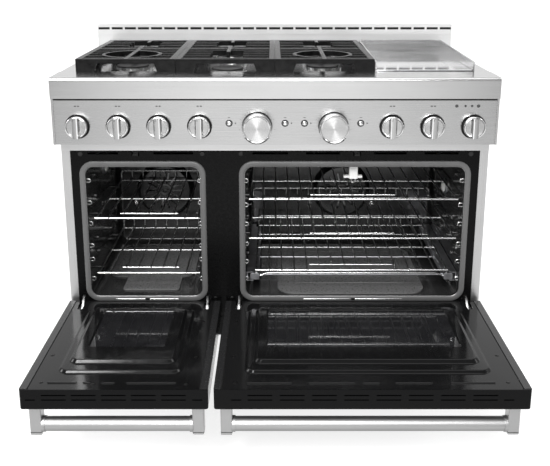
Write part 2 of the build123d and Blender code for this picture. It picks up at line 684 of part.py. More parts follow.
def grate(x0, ring):
    """Cast grate: box frame with arched ends, cross rails, side fingers and,
    on the outer grates, a simmer ring over the front burner."""
    x1 = x0 + GRATE_W
    cx = (x0 + x1) / 2
    zt = GRATE_Z1
    ym = (GRATE_Y0 + GRATE_Y1) / 2
    with BuildPart() as g:
        # side rails
        block(x0, x0 + 16, GRATE_Y0, GRATE_Y1, zt - 22, zt)
        block(x1 - 16, x1, GRATE_Y0, GRATE_Y1, zt - 22, zt)
        # front and rear walls with an arched opening each
        block(x0, x1, GRATE_Y0, GRATE_Y0 + 10, TUB_Z + 0.1, zt)
        block(x0, x1, GRATE_Y1 - 10, GRATE_Y1, TUB_Z + 0.1, zt)
        for ya in (GRATE_Y0 - 2, GRATE_Y1 - 12):
            with BuildSketch(Plane.XZ.offset(-Y(ya + 14))) as s:
                with BuildLine():
                    Polyline((cx - 92, TUB_Z - 5), (cx - 92, 905), (cx - 80, zt - 12), (cx + 80, zt - 12), (cx + 92, 905), (cx + 92, TUB_Z - 5), close=True)
                make_face()
            extrude(s.sketch, amount=14, mode=Mode.SUBTRACT)
        # centre cross rail
        block(x0 + 8, x1 - 8, ym - 7, ym + 7, zt - 20, zt)
        # fingers towards each burner and full cross bars beside the centre
        for by in BURNER_Y:
            for k in (-1, 0, 1):
                for sx in (-1, 1):
                    reach = 88.0 if (ring and by == BURNER_Y[0] and k == 0) else (78.0 if ring and by == BURNER_Y[0] else 47.0)
                    xa, xb = sorted((cx + sx * (GRATE_W / 2 - 8), cx + sx * reach))
                    block(xa, xb, by + 49 * k - 4, by + 49 * k + 4, zt - 16, zt)
        block(x0 + 8, x1 - 8, BURNER_Y[0] + 98 - 4, BURNER_Y[0] + 98 + 4, zt - 16, zt)
        block(x0 + 8, x1 - 8, BURNER_Y[1] - 98 - 4, BURNER_Y[1] - 98 + 4, zt - 16, zt)
        for yy in (BURNER_Y[0] - 98, BURNER_Y[1] + 98):
            block(x0 + 8, x1 - 8, yy - 4, yy + 4, zt - 16, zt)
        # fore-aft spine between the burners
        block(cx - 6, cx + 6, BURNER_Y[0] + 52, BURNER_Y[1] - 52, zt - 18, zt)
        block(cx - 5, cx + 5, BURNER_Y[1] + 48, GRATE_Y1 - 4, zt - 14, zt)
        if ring:
            block(cx - 6, cx + 6, GRATE_Y0 + 4, BURNER_Y[0] + 60, zt - 14, zt)
            with BuildSketch(Plane.XY.offset(zt - 14)) as s:
                with Locations((cx, Y(BURNER_Y[0]))):
                    Circle(88)
                    Circle(78, mode=Mode.SUBTRACT)
            extrude(s.sketch, amount=14)
        # middle feet
        for xx in (x0 + 8, x1 - 8):
            block(xx - 8, xx + 8, ym - 12, ym + 12, TUB_Z + 0.1, zt - 20)
    return g


write(grate(GRATE_X[0], True), "grate_left")
write(grate(GRATE_X[1], False), "grate_centre")
write(grate(GRATE_X[2], True), "grate_right")

with BuildPart() as griddle_frame:
    # splash walls round the griddle, low at the front
    for x0 in (283.5, 559.0):
        with BuildSketch(Plane.YZ.offset(x0)) as s:
            with BuildLine():
                Polyline((Y(52), TUB_Z), (Y(524), TUB_Z), (Y(524), 953), (Y(52), 941), close=True)
            make_face()
        extrude(s.sketch, amount=4)
    block(287.5, 559, 521, 524, TUB_Z, 955)
    # hidden burner tube and the rests that carry the plate
    block(287.5, 559, 64, 72, TUB_Z, 904)
    block(287.5, 559, 500, 508, TUB_Z, 904)
    rod_y(423, 72, 500, 897, 5)
write(griddle_frame, "griddle_frame")

with BuildPart() as griddle_plate:
    block(288.5, 558, 56, 519.5, 904, 918)
    fillet(griddle_plate.edges().filter_by(Axis.X).group_by(Axis.Z)[-1].sort_by(Axis.Y)[0], 2)
write(griddle_plate, "griddle_plate")

with BuildPart() as backguard:
    block(-HALF_W, HALF_W, 587, Y_BACK, Z_DECK, Z_TOP)
    block(-HALF_W + 2, HALF_W - 2, 589, Y_BACK - 2, Z_DECK - 4, Z_TOP - 2, mode=Mode.SUBTRACT)
    # shallow step below the vent row
    block(-HALF_W + 4, HALF_W - 4, 586, 588, Z_DECK - 1, 966, mode=Mode.SUBTRACT)
    with Locations(*[(-586.0 + 45.08 * i, Y(588), 987.7) for i in range(27)]):
        Box(38, 8, 8, mode=Mode.SUBTRACT)
write(backguard, "backguard")

print(len(written), "nodes")
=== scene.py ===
import json
import math
import random

import bmesh
import bpy
from mathutils import Matrix, Vector

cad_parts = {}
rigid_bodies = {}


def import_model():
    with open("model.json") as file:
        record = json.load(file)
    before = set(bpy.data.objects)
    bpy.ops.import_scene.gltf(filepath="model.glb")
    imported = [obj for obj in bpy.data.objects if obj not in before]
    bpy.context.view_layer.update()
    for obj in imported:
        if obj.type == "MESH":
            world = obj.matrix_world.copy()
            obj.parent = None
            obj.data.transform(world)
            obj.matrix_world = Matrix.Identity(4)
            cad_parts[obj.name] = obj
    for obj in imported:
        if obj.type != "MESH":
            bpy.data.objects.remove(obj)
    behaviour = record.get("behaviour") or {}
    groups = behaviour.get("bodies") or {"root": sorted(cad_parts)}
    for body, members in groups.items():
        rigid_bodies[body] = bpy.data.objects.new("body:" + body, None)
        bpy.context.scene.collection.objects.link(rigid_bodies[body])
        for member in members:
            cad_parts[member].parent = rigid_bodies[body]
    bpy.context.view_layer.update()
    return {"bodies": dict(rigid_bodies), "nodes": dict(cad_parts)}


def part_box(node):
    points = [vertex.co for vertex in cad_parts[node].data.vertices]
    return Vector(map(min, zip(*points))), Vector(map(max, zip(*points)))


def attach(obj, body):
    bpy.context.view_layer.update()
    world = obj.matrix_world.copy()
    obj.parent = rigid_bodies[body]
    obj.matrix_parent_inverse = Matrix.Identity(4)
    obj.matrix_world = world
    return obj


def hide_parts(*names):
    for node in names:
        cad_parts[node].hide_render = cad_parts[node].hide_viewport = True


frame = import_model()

NODES = frame["nodes"]
YF = -47.5                      # depth of the oven front frame, mm in the row frame
random.seed(7)


# ---------------------------------------------------------------------------
# mesh helpers, millimetres, depth measured from the front frame plane
# ---------------------------------------------------------------------------
def P(x, y, z):
    return Vector((x / 1000.0, (y + YF) / 1000.0, z / 1000.0))


def nbox(node):
    """A CAD node's box in millimetres, depth from the front frame plane."""
    lo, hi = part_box(node)
    return (lo.x * 1000, hi.x * 1000, lo.y * 1000 - YF, hi.y * 1000 - YF, lo.z * 1000, hi.z * 1000)


def loop(bm, pts):
    return [bm.verts.new(p) for p in pts]


def bridge(bm, a, b, mat=0):
    n = len(a)
    for i in range(n):
        f = bm.faces.new((a[i], a[(i + 1) % n], b[(i + 1) % n], b[i]))
        f.material_index = mat


def cap(bm, a, mat=0):
    f = bm.faces.new(a)
    f.material_index = mat


def stack(bm, loops, first=True, last=True, closed=False, mat=0):
    """Closed skin through loops of equal length."""
    vs = [loop(bm, l) for l in loops]
    for a, b in zip(vs, vs[1:]):
        bridge(bm, a, b, mat)
    if closed:
        bridge(bm, vs[-1], vs[0], mat)
    else:
        if first:
            cap(bm, vs[0], mat)
        if last:
            cap(bm, list(reversed(vs[-1])), mat)
    return vs


def rr(x0, x1, z0, z1, r, n=8):
    """Rounded rectangle, 2D points."""
    pts = []
    for cx, cz, a0 in ((x1 - r, z1 - r, 0), (x0 + r, z1 - r, 90), (x0 + r, z0 + r, 180), (x1 - r, z0 + r, 270)):
        for k in range(n + 1):
            a = math.radians(a0 + 90.0 * k / n)
            pts.append((cx + r * math.cos(a), cz + r * math.sin(a)))
    return pts


def box(bm, x0, x1, y0, y1, z0, z1, mat=0):
    a = loop(bm, [P(x0, y0, z0), P(x1, y0, z0), P(x1, y1, z0), P(x0, y1, z0)])
    b = loop(bm, [P(x0, y0, z1), P(x1, y0, z1), P(x1, y1, z1), P(x0, y1, z1)])
    bridge(bm, a, b, mat)
    cap(bm, a, mat)
    cap(bm, list(reversed(b)), mat)


def lathe(bm, prof, c, axis="y", n=48, mat=0, mats=None):
    """Solid of revolution; prof is (radius, position along the axis) in order.
    Radius 0 at an end closes it with a point."""
    rings = []
    for r, t in prof:
        if r < 1e-6:
            q = [(c[0], t, c[1])] if axis == "y" else ([(c[0], c[1], t)] if axis == "z" else [(t, c[0], c[1])])
            rings.append([bm.verts.new(P(*q[0]))])
            continue
        ring = []
        for k in range(n):
            a = 2 * math.pi * k / n
            u, v = r * math.cos(a), r * math.sin(a)
            if axis == "y":
                q = (c[0] + u, t, c[1] + v)
            elif axis == "z":
                q = (c[0] + u, c[1] + v, t)
            else:
                q = (t, c[0] + u, c[1] + v)
            ring.append(bm.verts.new(P(*q)))
        rings.append(ring)
    for i, (a, b) in enumerate(zip(rings, rings[1:])):
        m = mats[i] if mats else mat
        if len(a) == 1 and len(b) == 1:
            continue
        if len(a) == 1:
            for k in range(n):
                bm.faces.new((a[0], b[k], b[(k + 1) % n])).material_index = m
        elif len(b) == 1:
            for k in range(n):
                bm.faces.new((a[k], a[(k + 1) % n], b[0])).material_index = m
        else:
            bridge(bm, a, b, m)
    return rings


def lathe_ring(bm, prof, c, axis="y", n=48, mat=0):
    """Torus-like solid: a closed profile revolved."""
    rings = []
    for r, t in prof:
        ring = []
        for k in range(n):
            a = 2 * math.pi * k / n
            u, v = r * math.cos(a), r * math.sin(a)
            q = (c[0] + u, t, c[1] + v) if axis == "y" else ((c[0] + u, c[1] + v, t) if axis == "z" else (t, c[0] + u, c[1] + v))
            ring.append(bm.verts.new(P(*q)))
        rings.append(ring)
    for a, b in zip(rings, rings[1:] + rings[:1]):
        bridge(bm, a, b, mat)


def tube(bm, pts, r, n=10, mat=0, caps=True):
    """Round rod through points (mm triples)."""
    q = [P(*p) for p in pts]
    rr_ = r / 1000.0
    rings = []
    up = Vector((0, 0, 1))
    t0 = (q[1] - q[0]).normalized()
    if abs(t0.dot(up)) > 0.9:
        up = Vector((1, 0, 0))
    nrm = (up - t0 * up.dot(t0)).normalized()
    for i, p in enumerate(q):
        if i == 0:
            t = (q[1] - q[0]).normalized()
        elif i == len(q) - 1:
            t = (q[-1] - q[-2]).normalized()
        else:
            t = ((q[i + 1] - p).normalized() + (p - q[i - 1]).normalized()).normalized()
        nrm = (nrm - t * nrm.dot(t)).normalized()
        bi = t.cross(nrm)
        rings.append([bm.verts.new(p + (nrm * math.cos(2 * math.pi * k / n) + bi * math.sin(2 * math.pi * k / n)) * rr_) for k in range(n)])
    for a, b in zip(rings, rings[1:]):
        bridge(bm, a, b, mat)
    if caps:
        cap(bm, list(reversed(rings[0])), mat)
        cap(bm, rings[-1], mat)


def arc(c, r, a0, a1, n, plane="xz", k=0.0):
    """Points on an arc for tube(); plane names the two axes, k is the third."""
    out = []
    for i in range(n + 1):
        a = math.radians(a0 + (a1 - a0) * i / n)
        u, v = c[0] + r * math.cos(a), c[1] + r * math.sin(a)
        out.append((u, k, v) if plane == "xz" else ((u, v, k) if plane == "xy" else (k, u, v)))
    return out


def prism(bm, pts, y0, y1, mat=0, plane="xz"):
    """Polygon extruded along the remaining axis."""
    f = {"xz": lambda u, v, t: P(u, t, v), "xy": lambda u, v, t: P(u, v, t), "yz": lambda u, v, t: P(t, u, v)}[plane]
    a = loop(bm, [f(u, v, y0) for u, v in pts])
    b = loop(bm, [f(u, v, y1) for u, v in pts])
    bridge(bm, a, b, mat)
    cap(bm, a, mat)
    cap(bm, list(reversed(b)), mat)


def stadium(cx, cy, w, h, n=6):
    r = h / 2
    pts = []
    for k in range(n + 1):
        a = math.radians(-90 + 180.0 * k / n)
        pts.append((cx + w / 2 - r + r * math.cos(a), cy + r * math.sin(a)))
    for k in range(n + 1):
        a = math.radians(90 + 180.0 * k / n)
        pts.append((cx - w / 2 + r + r * math.cos(a), cy + r * math.sin(a)))
    return pts


def piece(name, bm, mats, body="root", replaces=(), angle=35, bevel=0.0, seg=2, weighted=True):
    bmesh.ops.recalc_face_normals(bm, faces=bm.faces)
    me = bpy.data.meshes.new(name)
    bm.to_mesh(me)
    bm.free()
    for m in (mats if isinstance(mats, (list, tuple)) else [mats]):
        me.materials.append(m)
    ob = bpy.data.objects.new(name, me)
    bpy.context.scene.collection.objects.link(ob)
    me.polygons.foreach_set("use_smooth", [True] * len(me.polygons))
    if bevel:
        b = ob.modifiers.new("edge", "BEVEL")
        b.width = bevel / 1000.0
        b.segments = seg
        b.limit_method = "ANGLE"
        b.angle_limit = math.radians(angle)
        b.harden_normals = False
        b.use_clamp_overlap = True
    else:
        me.set_sharp_from_angle(angle=math.radians(angle))
    if weighted:
        w = ob.modifiers.new("normals", "WEIGHTED_NORMAL")
        w.keep_sharp = True
    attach(ob, body)
    if replaces:
        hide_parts(*([replaces] if isinstance(replaces, str) else replaces))
    return ob


def softened(node, name, mats, body, width=0.8, seg=2, angle=25):
    """A copy of a CAD node with its real small edge radii, which stands for it."""
    bm = bmesh.new()
    bm.from_mesh(NODES[node].data)
    bmesh.ops.remove_doubles(bm, verts=bm.verts, dist=1e-6)
    bmesh.ops.dissolve_limit(bm, angle_limit=math.radians(0.5), verts=bm.verts, edges=bm.edges)
    edges = [e for e in bm.edges if len(e.link_faces) == 2 and e.calc_face_angle(0.0) > math.radians(angle)]
    bmesh.ops.bevel(bm, geom=edges, offset=width / 1000.0, offset_type="OFFSET", segments=seg, profile=0.5, affect="EDGES", clamp_overlap=True)
    return piece(name, bm, mats, body, node, angle=40)


def carve(bm, boxes):
    """Cut axis-aligned boxes (mm) out of a closed skin."""
    def temp(name, b):
        me = bpy.data.meshes.new(name)
        bmesh.ops.recalc_face_normals(b, faces=b.faces)
        b.to_mesh(me)
        b.free()
        ob = bpy.data.objects.new(name, me)
        bpy.context.scene.collection.objects.link(ob)
        return ob
    cut = bmesh.new()
    for c in boxes:
        box(cut, *c)
    a, b = temp("carve_a", bm), temp("carve_b", cut)
    m = a.modifiers.new("cut", "BOOLEAN")
    m.operation = "DIFFERENCE"
    m.solver = "EXACT"
    m.object = b
    bpy.context.view_layer.update()
    dg = bpy.context.evaluated_depsgraph_get()
    out = bmesh.new()
    out.from_mesh(a.evaluated_get(dg).to_mesh())
    for ob in (a, b):
        me = ob.data
        bpy.data.objects.remove(ob)
        bpy.data.meshes.remove(me)
    return out


# ---------------------------------------------------------------------------
# materials
# ---------------------------------------------------------------------------
def new_mat(name):
    m = bpy.data.materials.new(name)
    m.use_nodes = True
    nt = m.node_tree
    b = nt.nodes["Principled BSDF"]
    return m, nt, b


def coords(nt, scale=(1, 1, 1), kind="Object"):
    tc = nt.nodes.new("ShaderNodeTexCoord")
    mp = nt.nodes.new("ShaderNodeMapping")
    mp.inputs["Scale"].default_value = scale
    nt.links.new(tc.outputs[kind], mp.inputs["Vector"])
    return mp.outputs["Vector"]


def noise(nt, vec, scale, detail=3.0, rough=0.5):
    n = nt.nodes.new("ShaderNodeTexNoise")
    n.inputs["Scale"].default_value = scale
    n.inputs["Detail"].default_value = detail
    n.inputs["Roughness"].default_value = rough
    nt.links.new(vec, n.inputs["Vector"])
    return n.outputs["Fac"]


def ranged(nt, fac, lo, hi, a=0.3, b=0.7):
    r = nt.nodes.new("ShaderNodeMapRange")
    r.inputs["From Min"].default_value = a
    r.inputs["From Max"].default_value = b
    r.inputs["To Min"].default_value = lo
    r.inputs["To Max"].default_value = hi
    nt.links.new(fac, r.inputs["Value"])
    return r.outputs["Result"]


def two_tone(nt, fac, c0, c1, a=0.3, b=0.7):
    r = nt.nodes.new("ShaderNodeValToRGB")
    r.color_ramp.elements[0].position = a
    r.color_ramp.elements[0].color = (*c0, 1)
    r.color_ramp.elements[1].position = b
    r.color_ramp.elements[1].color = (*c1, 1)
    nt.links.new(fac, r.inputs["Fac"])
    return r.outputs["Color"]


def bump(nt, b, fac, strength, distance):
    n = nt.nodes.new("ShaderNodeBump")
    n.inputs["Strength"].default_value = strength
    n.inputs["Distance"].default_value = distance
    nt.links.new(fac, n.inputs["Height"])
    nt.links.new(n.outputs["Normal"], b.inputs["Normal"])


def brushed(name, col, rough=0.3, grain=(4, 700, 700), var=0.05, gb=0.12, aniso=0.0, spread=0.07):
    """Brushed sheet metal: grain streaks in roughness and relief, soft clouds in tone."""
    m, nt, b = new_mat(name)
    v = coords(nt, grain)
    g = noise(nt, v, 1.0, 4.0, 0.6)
    cl = noise(nt, coords(nt, (3, 3, 6)), 1.6, 3.0)
    c0 = tuple(c * (1 - var) for c in col)
    c1 = tuple(min(1, c * (1 + var)) for c in col)
    mix = nt.nodes.new("ShaderNodeMix")
    mix.data_type = "FLOAT"
    mix.inputs[0].default_value = 0.5
    nt.links.new(g, mix.inputs[2])
    nt.links.new(cl, mix.inputs[3])
    nt.links.new(two_tone(nt, mix.outputs[0], c0, c1, 0.35, 0.65), b.inputs["Base Color"])
    b.inputs["Metallic"].default_value = 1.0
    nt.links.new(ranged(nt, g, rough - spread, rough + spread), b.inputs["Roughness"])
    b.inputs["Anisotropic"].default_value = aniso
    bump(nt, b, g, gb, 0.0002)
    return m


def enamel(name, col, rough=0.12, speck=0.0, orange=0.05, coat=0.0, spec=0.5):
    """Vitreous enamel or gloss paint with a faint orange-peel surface."""
    m, nt, b = new_mat(name)
    v = coords(nt, (1, 1, 1))
    s = noise(nt, v, 1400.0, 1.0)
    peel = noise(nt, v, 160.0, 2.0)
    hi = tuple(c + speck for c in col)
    nt.links.new(two_tone(nt, s, col, hi, 0.58, 0.74), b.inputs["Base Color"])
    nt.links.new(ranged(nt, peel, rough * 0.75, rough * 1.3), b.inputs["Roughness"])
    b.inputs["Coat Weight"].default_value = coat
    b.inputs["Coat Roughness"].default_value = 0.05
    b.inputs["Specular IOR Level"].default_value = spec
    bump(nt, b, peel, orange, 0.0006)
    return m


def cast(name, col, rough=0.55, spec=0.5):
    m, nt, b = new_mat(name)
    v = coords(nt, (1, 1, 1))
    f = noise(nt, v, 900.0, 3.0, 0.6)
    w = noise(nt, v, 60.0, 2.0)
    nt.links.new(two_tone(nt, w, col, tuple(c * 1.7 + 0.004 for c in col), 0.35, 0.7), b.inputs["Base Color"])
    nt.links.new(ranged(nt, f, rough - 0.12, rough + 0.12), b.inputs["Roughness"])
    b.inputs["Specular IOR Level"].default_value = spec
    bump(nt, b, f, 0.4, 0.0005)
    return m


def plain_metal(name, col, rough, var=0.06, scale=90.0, bp=0.05):
    m, nt, b = new_mat(name)
    v = coords(nt, (1, 1, 1))
    f = noise(nt, v, scale, 3.0)
    nt.links.new(two_tone(nt, f, tuple(c * (1 - var) for c in col), tuple(min(1, c * (1 + var)) for c in col)), b.inputs["Base Color"])
    b.inputs["Metallic"].default_value = 1.0
    nt.links.new(ranged(nt, f, rough * 0.8, rough * 1.25), b.inputs["Roughness"])
    bump(nt, b, f, bp, 0.0003)
    return m


def turned(name, col, rough=0.22, aniso=0.85, axis="Y"):
    """Lathe-turned face: concentric grooves spread highlights into wedges."""
    m, nt, b = new_mat(name)
    v = coords(nt, (1, 1, 1))
    f = noise(nt, v, 1200.0, 2.0)
    nt.links.new(two_tone(nt, f, tuple(c * 0.95 for c in col), tuple(min(1, c * 1.05) for c in col)), b.inputs["Base Color"])
    b.inputs["Metallic"].default_value = 1.0
    b.inputs["Anisotropic"].default_value = aniso
    nt.links.new(ranged(nt, f, rough * 0.85, rough * 1.15), b.inputs["Roughness"])
    t = nt.nodes.new("ShaderNodeTangent")
    t.direction_type = "RADIAL"
    t.axis = axis
    b.inputs["Anisotropic Rotation"].default_value = 0.25
    nt.links.new(t.outputs["Tangent"], b.inputs["Tangent"])
    return m


def braid(name):
    m, nt, b = new_mat(name)
    v = coords(nt, (1, 1, 1))
    vo = nt.nodes.new("ShaderNodeTexVoronoi")
    vo.inputs["Scale"].default_value = 420.0
    nt.links.new(v, vo.inputs["Vector"])
    f = noise(nt, v, 260.0, 3.0, 0.7)
    mix = nt.nodes.new("ShaderNodeMix")
    mix.data_type = "FLOAT"
    mix.inputs[0].default_value = 0.5
    nt.links.new(vo.outputs["Distance"], mix.inputs[2])
    nt.links.new(f, mix.inputs[3])
    nt.links.new(two_tone(nt, mix.outputs[0], (0.10, 0.10, 0.10), (0.30, 0.30, 0.30), 0.25, 0.62), b.inputs["Base Color"])
    b.inputs["Roughness"].default_value = 0.85
    b.inputs["Sheen Weight"].default_value = 0.25
    bump(nt, b, mix.outputs[0], 0.7, 0.0012)
    return m


def plastic(name, col, rough=0.4):
    m, nt, b = new_mat(name)
    f = noise(nt, coords(nt, (1, 1, 1)), 700.0, 2.0)
    nt.links.new(two_tone(nt, f, col, tuple(c * 1.25 + 0.002 for c in col)), b.inputs["Base Color"])
    nt.links.new(ranged(nt, f, rough * 0.85, rough * 1.15), b.inputs["Roughness"])
    bump(nt, b, f, 0.15, 0.0002)
    return m


def glass_dark(name):
    m, nt, b = new_mat(name)
    f = noise(nt, coords(nt, (1, 1, 1)), 25.0, 2.0)
    nt.links.new(two_tone(nt, f, (0.010, 0.010, 0.011), (0.016, 0.016, 0.017)), b.inputs["Base Color"])
    nt.links.new(ranged(nt, f, 0.03, 0.07), b.inputs["Roughness"])
    b.inputs["Specular IOR Level"].default_value = 0.8
    b.inputs["Coat Weight"].default_value = 0.6
    b.inputs["Coat Roughness"].default_value = 0.02
    return m


M = {}
M["steel_x"] = brushed("stainless_brushed_x", (0.56, 0.56, 0.56), 0.28, (4, 700, 700), aniso=0.3)
M["steel_deck"] = brushed("stainless_deck", (0.62, 0.62, 0.62), 0.20, (5, 500, 500), aniso=0.3)
M["steel_z"] = brushed("stainless_brushed_z", (0.66, 0.66, 0.66), 0.32, (700, 700, 4))
M["steel_tube"] = brushed("stainless_tube", (0.50, 0.50, 0.50), 0.44, (6, 800, 800), gb=0.06)
M["polished"] = plain_metal("polished_plate", (0.74, 0.74, 0.75), 0.06, 0.03, 30.0, 0.01)
M["knob"] = brushed("knob_satin", (0.50, 0.50, 0.50), 0.22, (900, 900, 900), var=0.03, gb=0.04)
M["face"] = turned("turned_face", (0.62, 0.62, 0.62), 0.26, 0.92)
M["rim"] = plain_metal("bright_rim", (0.88, 0.88, 0.88), 0.14, 0.02, 200.0, 0.01)
M["trim"] = brushed("trim_satin", (0.70, 0.70, 0.70), 0.34, (4, 600, 600), var=0.03)
M["frame"] = enamel("frame_enamel", (0.0022, 0.0022, 0.0023), 0.28, 0.0006, 0.05, spec=0.12)
M["oven"] = enamel("oven_enamel", (0.017, 0.017, 0.017), 0.15, 0.075, 0.14, spec=0.6)
M["door_in"] = enamel("door_enamel", (0.0050, 0.0050, 0.0052), 0.12, 0.002, 0.04, spec=0.20)
M["door_out"] = enamel("door_skin_gloss", (0.0030, 0.0030, 0.0032), 0.22, 0.001, 0.04, spec=0.12)
M["rim_grey"] = enamel("door_rim_paint", (0.012, 0.012, 0.0125), 0.22, 0.001, 0.03, spec=0.42)
M["plate"] = enamel("floor_plate_enamel", (0.115, 0.115, 0.115), 0.30, 0.110, 0.25, spec=0.8)
M["gasket"] = enamel("gasket_silicone", (0.100, 0.100, 0.100), 0.42, 0.020, 0.25, spec=0.6)
M["black_bolt"] = plain_metal("black_bolt", (0.030, 0.030, 0.030), 0.35, 0.1, 200.0, 0.05)
M["panel"] = brushed("stainless_panel", (0.55, 0.55, 0.55), 0.28, (4, 700, 700), aniso=0.3)
M["steel_back"] = brushed("stainless_backguard", (0.64, 0.64, 0.64), 0.40, (4, 600, 600), var=0.03)
M["steel_back"].node_tree.nodes["Principled BSDF"].inputs["Metallic"].default_value = 0.55
M["cast"] = cast("cast_iron_enamel", (0.0030, 0.0030, 0.0030), 0.30, 0.12)
M["cap"] = cast("burner_cap_enamel", (0.010, 0.010, 0.010), 0.40)
# one chrome wire in three copies: the brightest is a painted highlight (front bars, wire ends, igniter leads), the
# other two are painted shade (cross bars, long wires)
M["wire"] = plain_metal("chrome_wire", (0.80, 0.80, 0.80), 0.20, 0.04, 300.0, 0.03)
M["wire_painted_half_shade"] = plain_metal("chrome_wire_painted_half_shade", (0.62, 0.62, 0.62), 0.26, 0.06, 300.0, 0.03)
M["wire_dim"] = plain_metal("chrome_wire_painted_shade", (0.46, 0.46, 0.46), 0.30, 0.08, 300.0, 0.03)
M["fan_steel"] = plain_metal("fan_steel", (0.42, 0.42, 0.42), 0.30, 0.08, 200.0, 0.05)
M["zinc"] = plain_metal("zinc_plate", (0.52, 0.52, 0.54), 0.38, 0.12, 60.0, 0.08)
M["alu"] = plain_metal("cast_aluminium", (0.86, 0.86, 0.86), 0.30, 0.08, 500.0, 0.25)
M["braid"] = braid("gasket_braid")
M["glass"] = glass_dark("window_glass")
M["brass"] = plain_metal("brass", (0.62, 0.45, 0.18), 0.28, 0.06, 80.0, 0.04)
M["plastic"] = plastic("black_plastic", (0.012, 0.012, 0.012), 0.38)
M["ceramic"] = plastic("white_ceramic", (0.75, 0.75, 0.74), 0.45)
M["mark"] = plastic("printed_mark", (0.05, 0.05, 0.05), 0.6)
M["rubber"] = plastic("rubber", (0.010, 0.010, 0.010), 0.7)
M["clip"] = plain_metal("spring_clip", (0.80, 0.80, 0.80), 0.22, 0.04, 200.0, 0.03)
# near-black: the real dark joints on the doors and handle posts, and painted shade in the bezel recesses, under the
# nose and in the vent slots
M["dark_gap"] = plastic("dark_joints_and_painted_shade", (0.003, 0.003, 0.003), 0.9)
M["lens"] = plastic("lamp_glass", (0.80, 0.80, 0.78), 0.10)

CAD_MAT = {
    "base_frame": "zinc", "leveling_legs": "zinc", "kick_panel": "frame", "side_panels": "steel_z", "rear_panel": "zinc",
    "front_frame": "frame", "front_trim": "trim", "oven_liner_left": "oven", "oven_liner_right": "oven", "gaskets": "braid",
    "fan_covers": "oven", "fan_motors": "zinc", "oven_burners": "zinc", "floor_plates": "oven", "rollout_base": "zinc",
    "frame_hardware": "zinc", "control_panel": "panel", "panel_bezels": "rim", "gas_supply": "brass", "control_unit": "plastic",
    "bullnose": "steel_deck", "cooktop_deck": "steel_deck", "burner_heads": "alu", "burner_caps": "cap", "griddle_frame": "steel_deck",
    "griddle_plate": "polished", "backguard": "steel_back",
}
for side in ("left", "right"):
    CAD_MAT["door_%s_skin" % side] = "door_out"
    CAD_MAT["door_%s_liner" % side] = "door_in"
    CAD_MAT["door_%s_glass" % side] = "glass"
    CAD_MAT["door_%s_handle" % side] = "steel_tube"
    CAD_MAT["door_%s_hinges" % side] = "zinc"
    CAD_MAT["dial_%s" % side] = "knob"
    CAD_MAT["fan_wheel_%s" % side] = "fan_steel"
for i in range(1, 8):
    CAD_MAT["knob_%d" % i] = "knob"
for i in range(1, 5):
    CAD_MAT["button_%d" % i] = "rim"
for n in NODES:
    if n.startswith("rack") or n.startswith("rollout_rack"):
        CAD_MAT[n] = "wire_painted_half_shade"
    if n.startswith("grate"):
        CAD_MAT[n] = "cast"
for n, o in NODES.items():
    o.data.materials.clear()
    o.data.materials.append(M[CAD_MAT[n]])


# small cast radii on the grates
for g in ("left", "centre", "right"):
    softened("grate_" + g, "grate_%s_casting" % g, M["cast"], "grate_" + g if "grate_" + g in frame["bodies"] else "root", 1.3, 2, 40)


# ---------------------------------------------------------------------------
# controls
# ---------------------------------------------------------------------------
PANEL_Y = -64.0
KNOBS = ["knob_%d" % i for i in range(1, 8)]


def centre(node):
    b = nbox(node)
    return (b[0] + b[1]) / 2, (b[4] + b[5]) / 2


bm = bmesh.new()
for n in KNOBS:
    c = centre(n)
    lathe_ring(bm, [(32.6, -64.05), (34.2, -64.05), (34.4, -64.6), (34.4, -66.4), (34.1, -67.2), (33.6, -67.5), (33.0, -67.2), (32.6, -66.4)], c, n=64)
for n in ("dial_left", "dial_right"):
    c = centre(n)
    lathe_ring(bm, [(40.0, -64.05), (41.7, -64.05), (41.9, -64.6), (41.9, -66.6), (41.6, -67.4), (41.0, -67.7), (40.4, -67.4), (40.0, -66.6)], c, n=72)
piece("bezel_rings", bm, M["knob"], "root", "panel_bezels", angle=50, weighted=False)
# near-black annulus behind each knob and dial: painted shade for the shadow inside the bezel recess
bm = bmesh.new()
for n, r in [(k, 32.55) for k in KNOBS] + [("dial_left", 39.95), ("dial_right", 39.95)]:
    lathe_ring(bm, [(7.0, -64.05), (r, -64.05), (r, -66.2), (r - 0.8, -66.2), (r - 1.2, -64.7), (7.0, -64.7)], centre(n), n=64)
piece("bezel_painted_shade_rings", bm, M["dark_gap"], "root", (), angle=50, weighted=False)

bm = bmesh.new()
for n in ["button_%d" % i for i in range(1, 5)]:
    c = centre(n)
    lathe_ring(bm, [(7.45, -64.05), (9.6, -64.05), (9.7, -64.8), (9.5, -65.6), (8.8, -65.95), (7.9, -65.9), (7.45, -65.4)], c, n=40)
piece("button_rings", bm, M["plastic"], "root", (), angle=50, weighted=False)

# LED lenses with their black collars
bm = bmesh.new()
for x in (493.0, 516.6, 534.5, 552.0):
    g = 1.4 if x in (493.0, 552.0) else 0.0
    lathe_ring(bm, [(2.0 + g, -64.05), (3.1 + g, -64.05), (3.1 + g, -64.6), (2.6 + g, -65.1), (2.0 + g, -64.9)], (x, 836.0), n=24)
piece("led_collars", bm, M["plastic"], "root", (), weighted=False)
bm = bmesh.new()
for x in (493.0, 516.6, 534.5, 552.0):
    r = 3.2 if x in (493.0, 552.0) else 2.0
    lathe(bm, [(0, -62.0), (1.9, -62.0), (1.9, -64.1), (r, -64.12), (r * 0.8, -64.9), (r * 0.4, -65.15), (0, -65.2)], (x, 836.0), n=20)
piece("led_lenses", bm, M["mark"], "root", (), weighted=False)

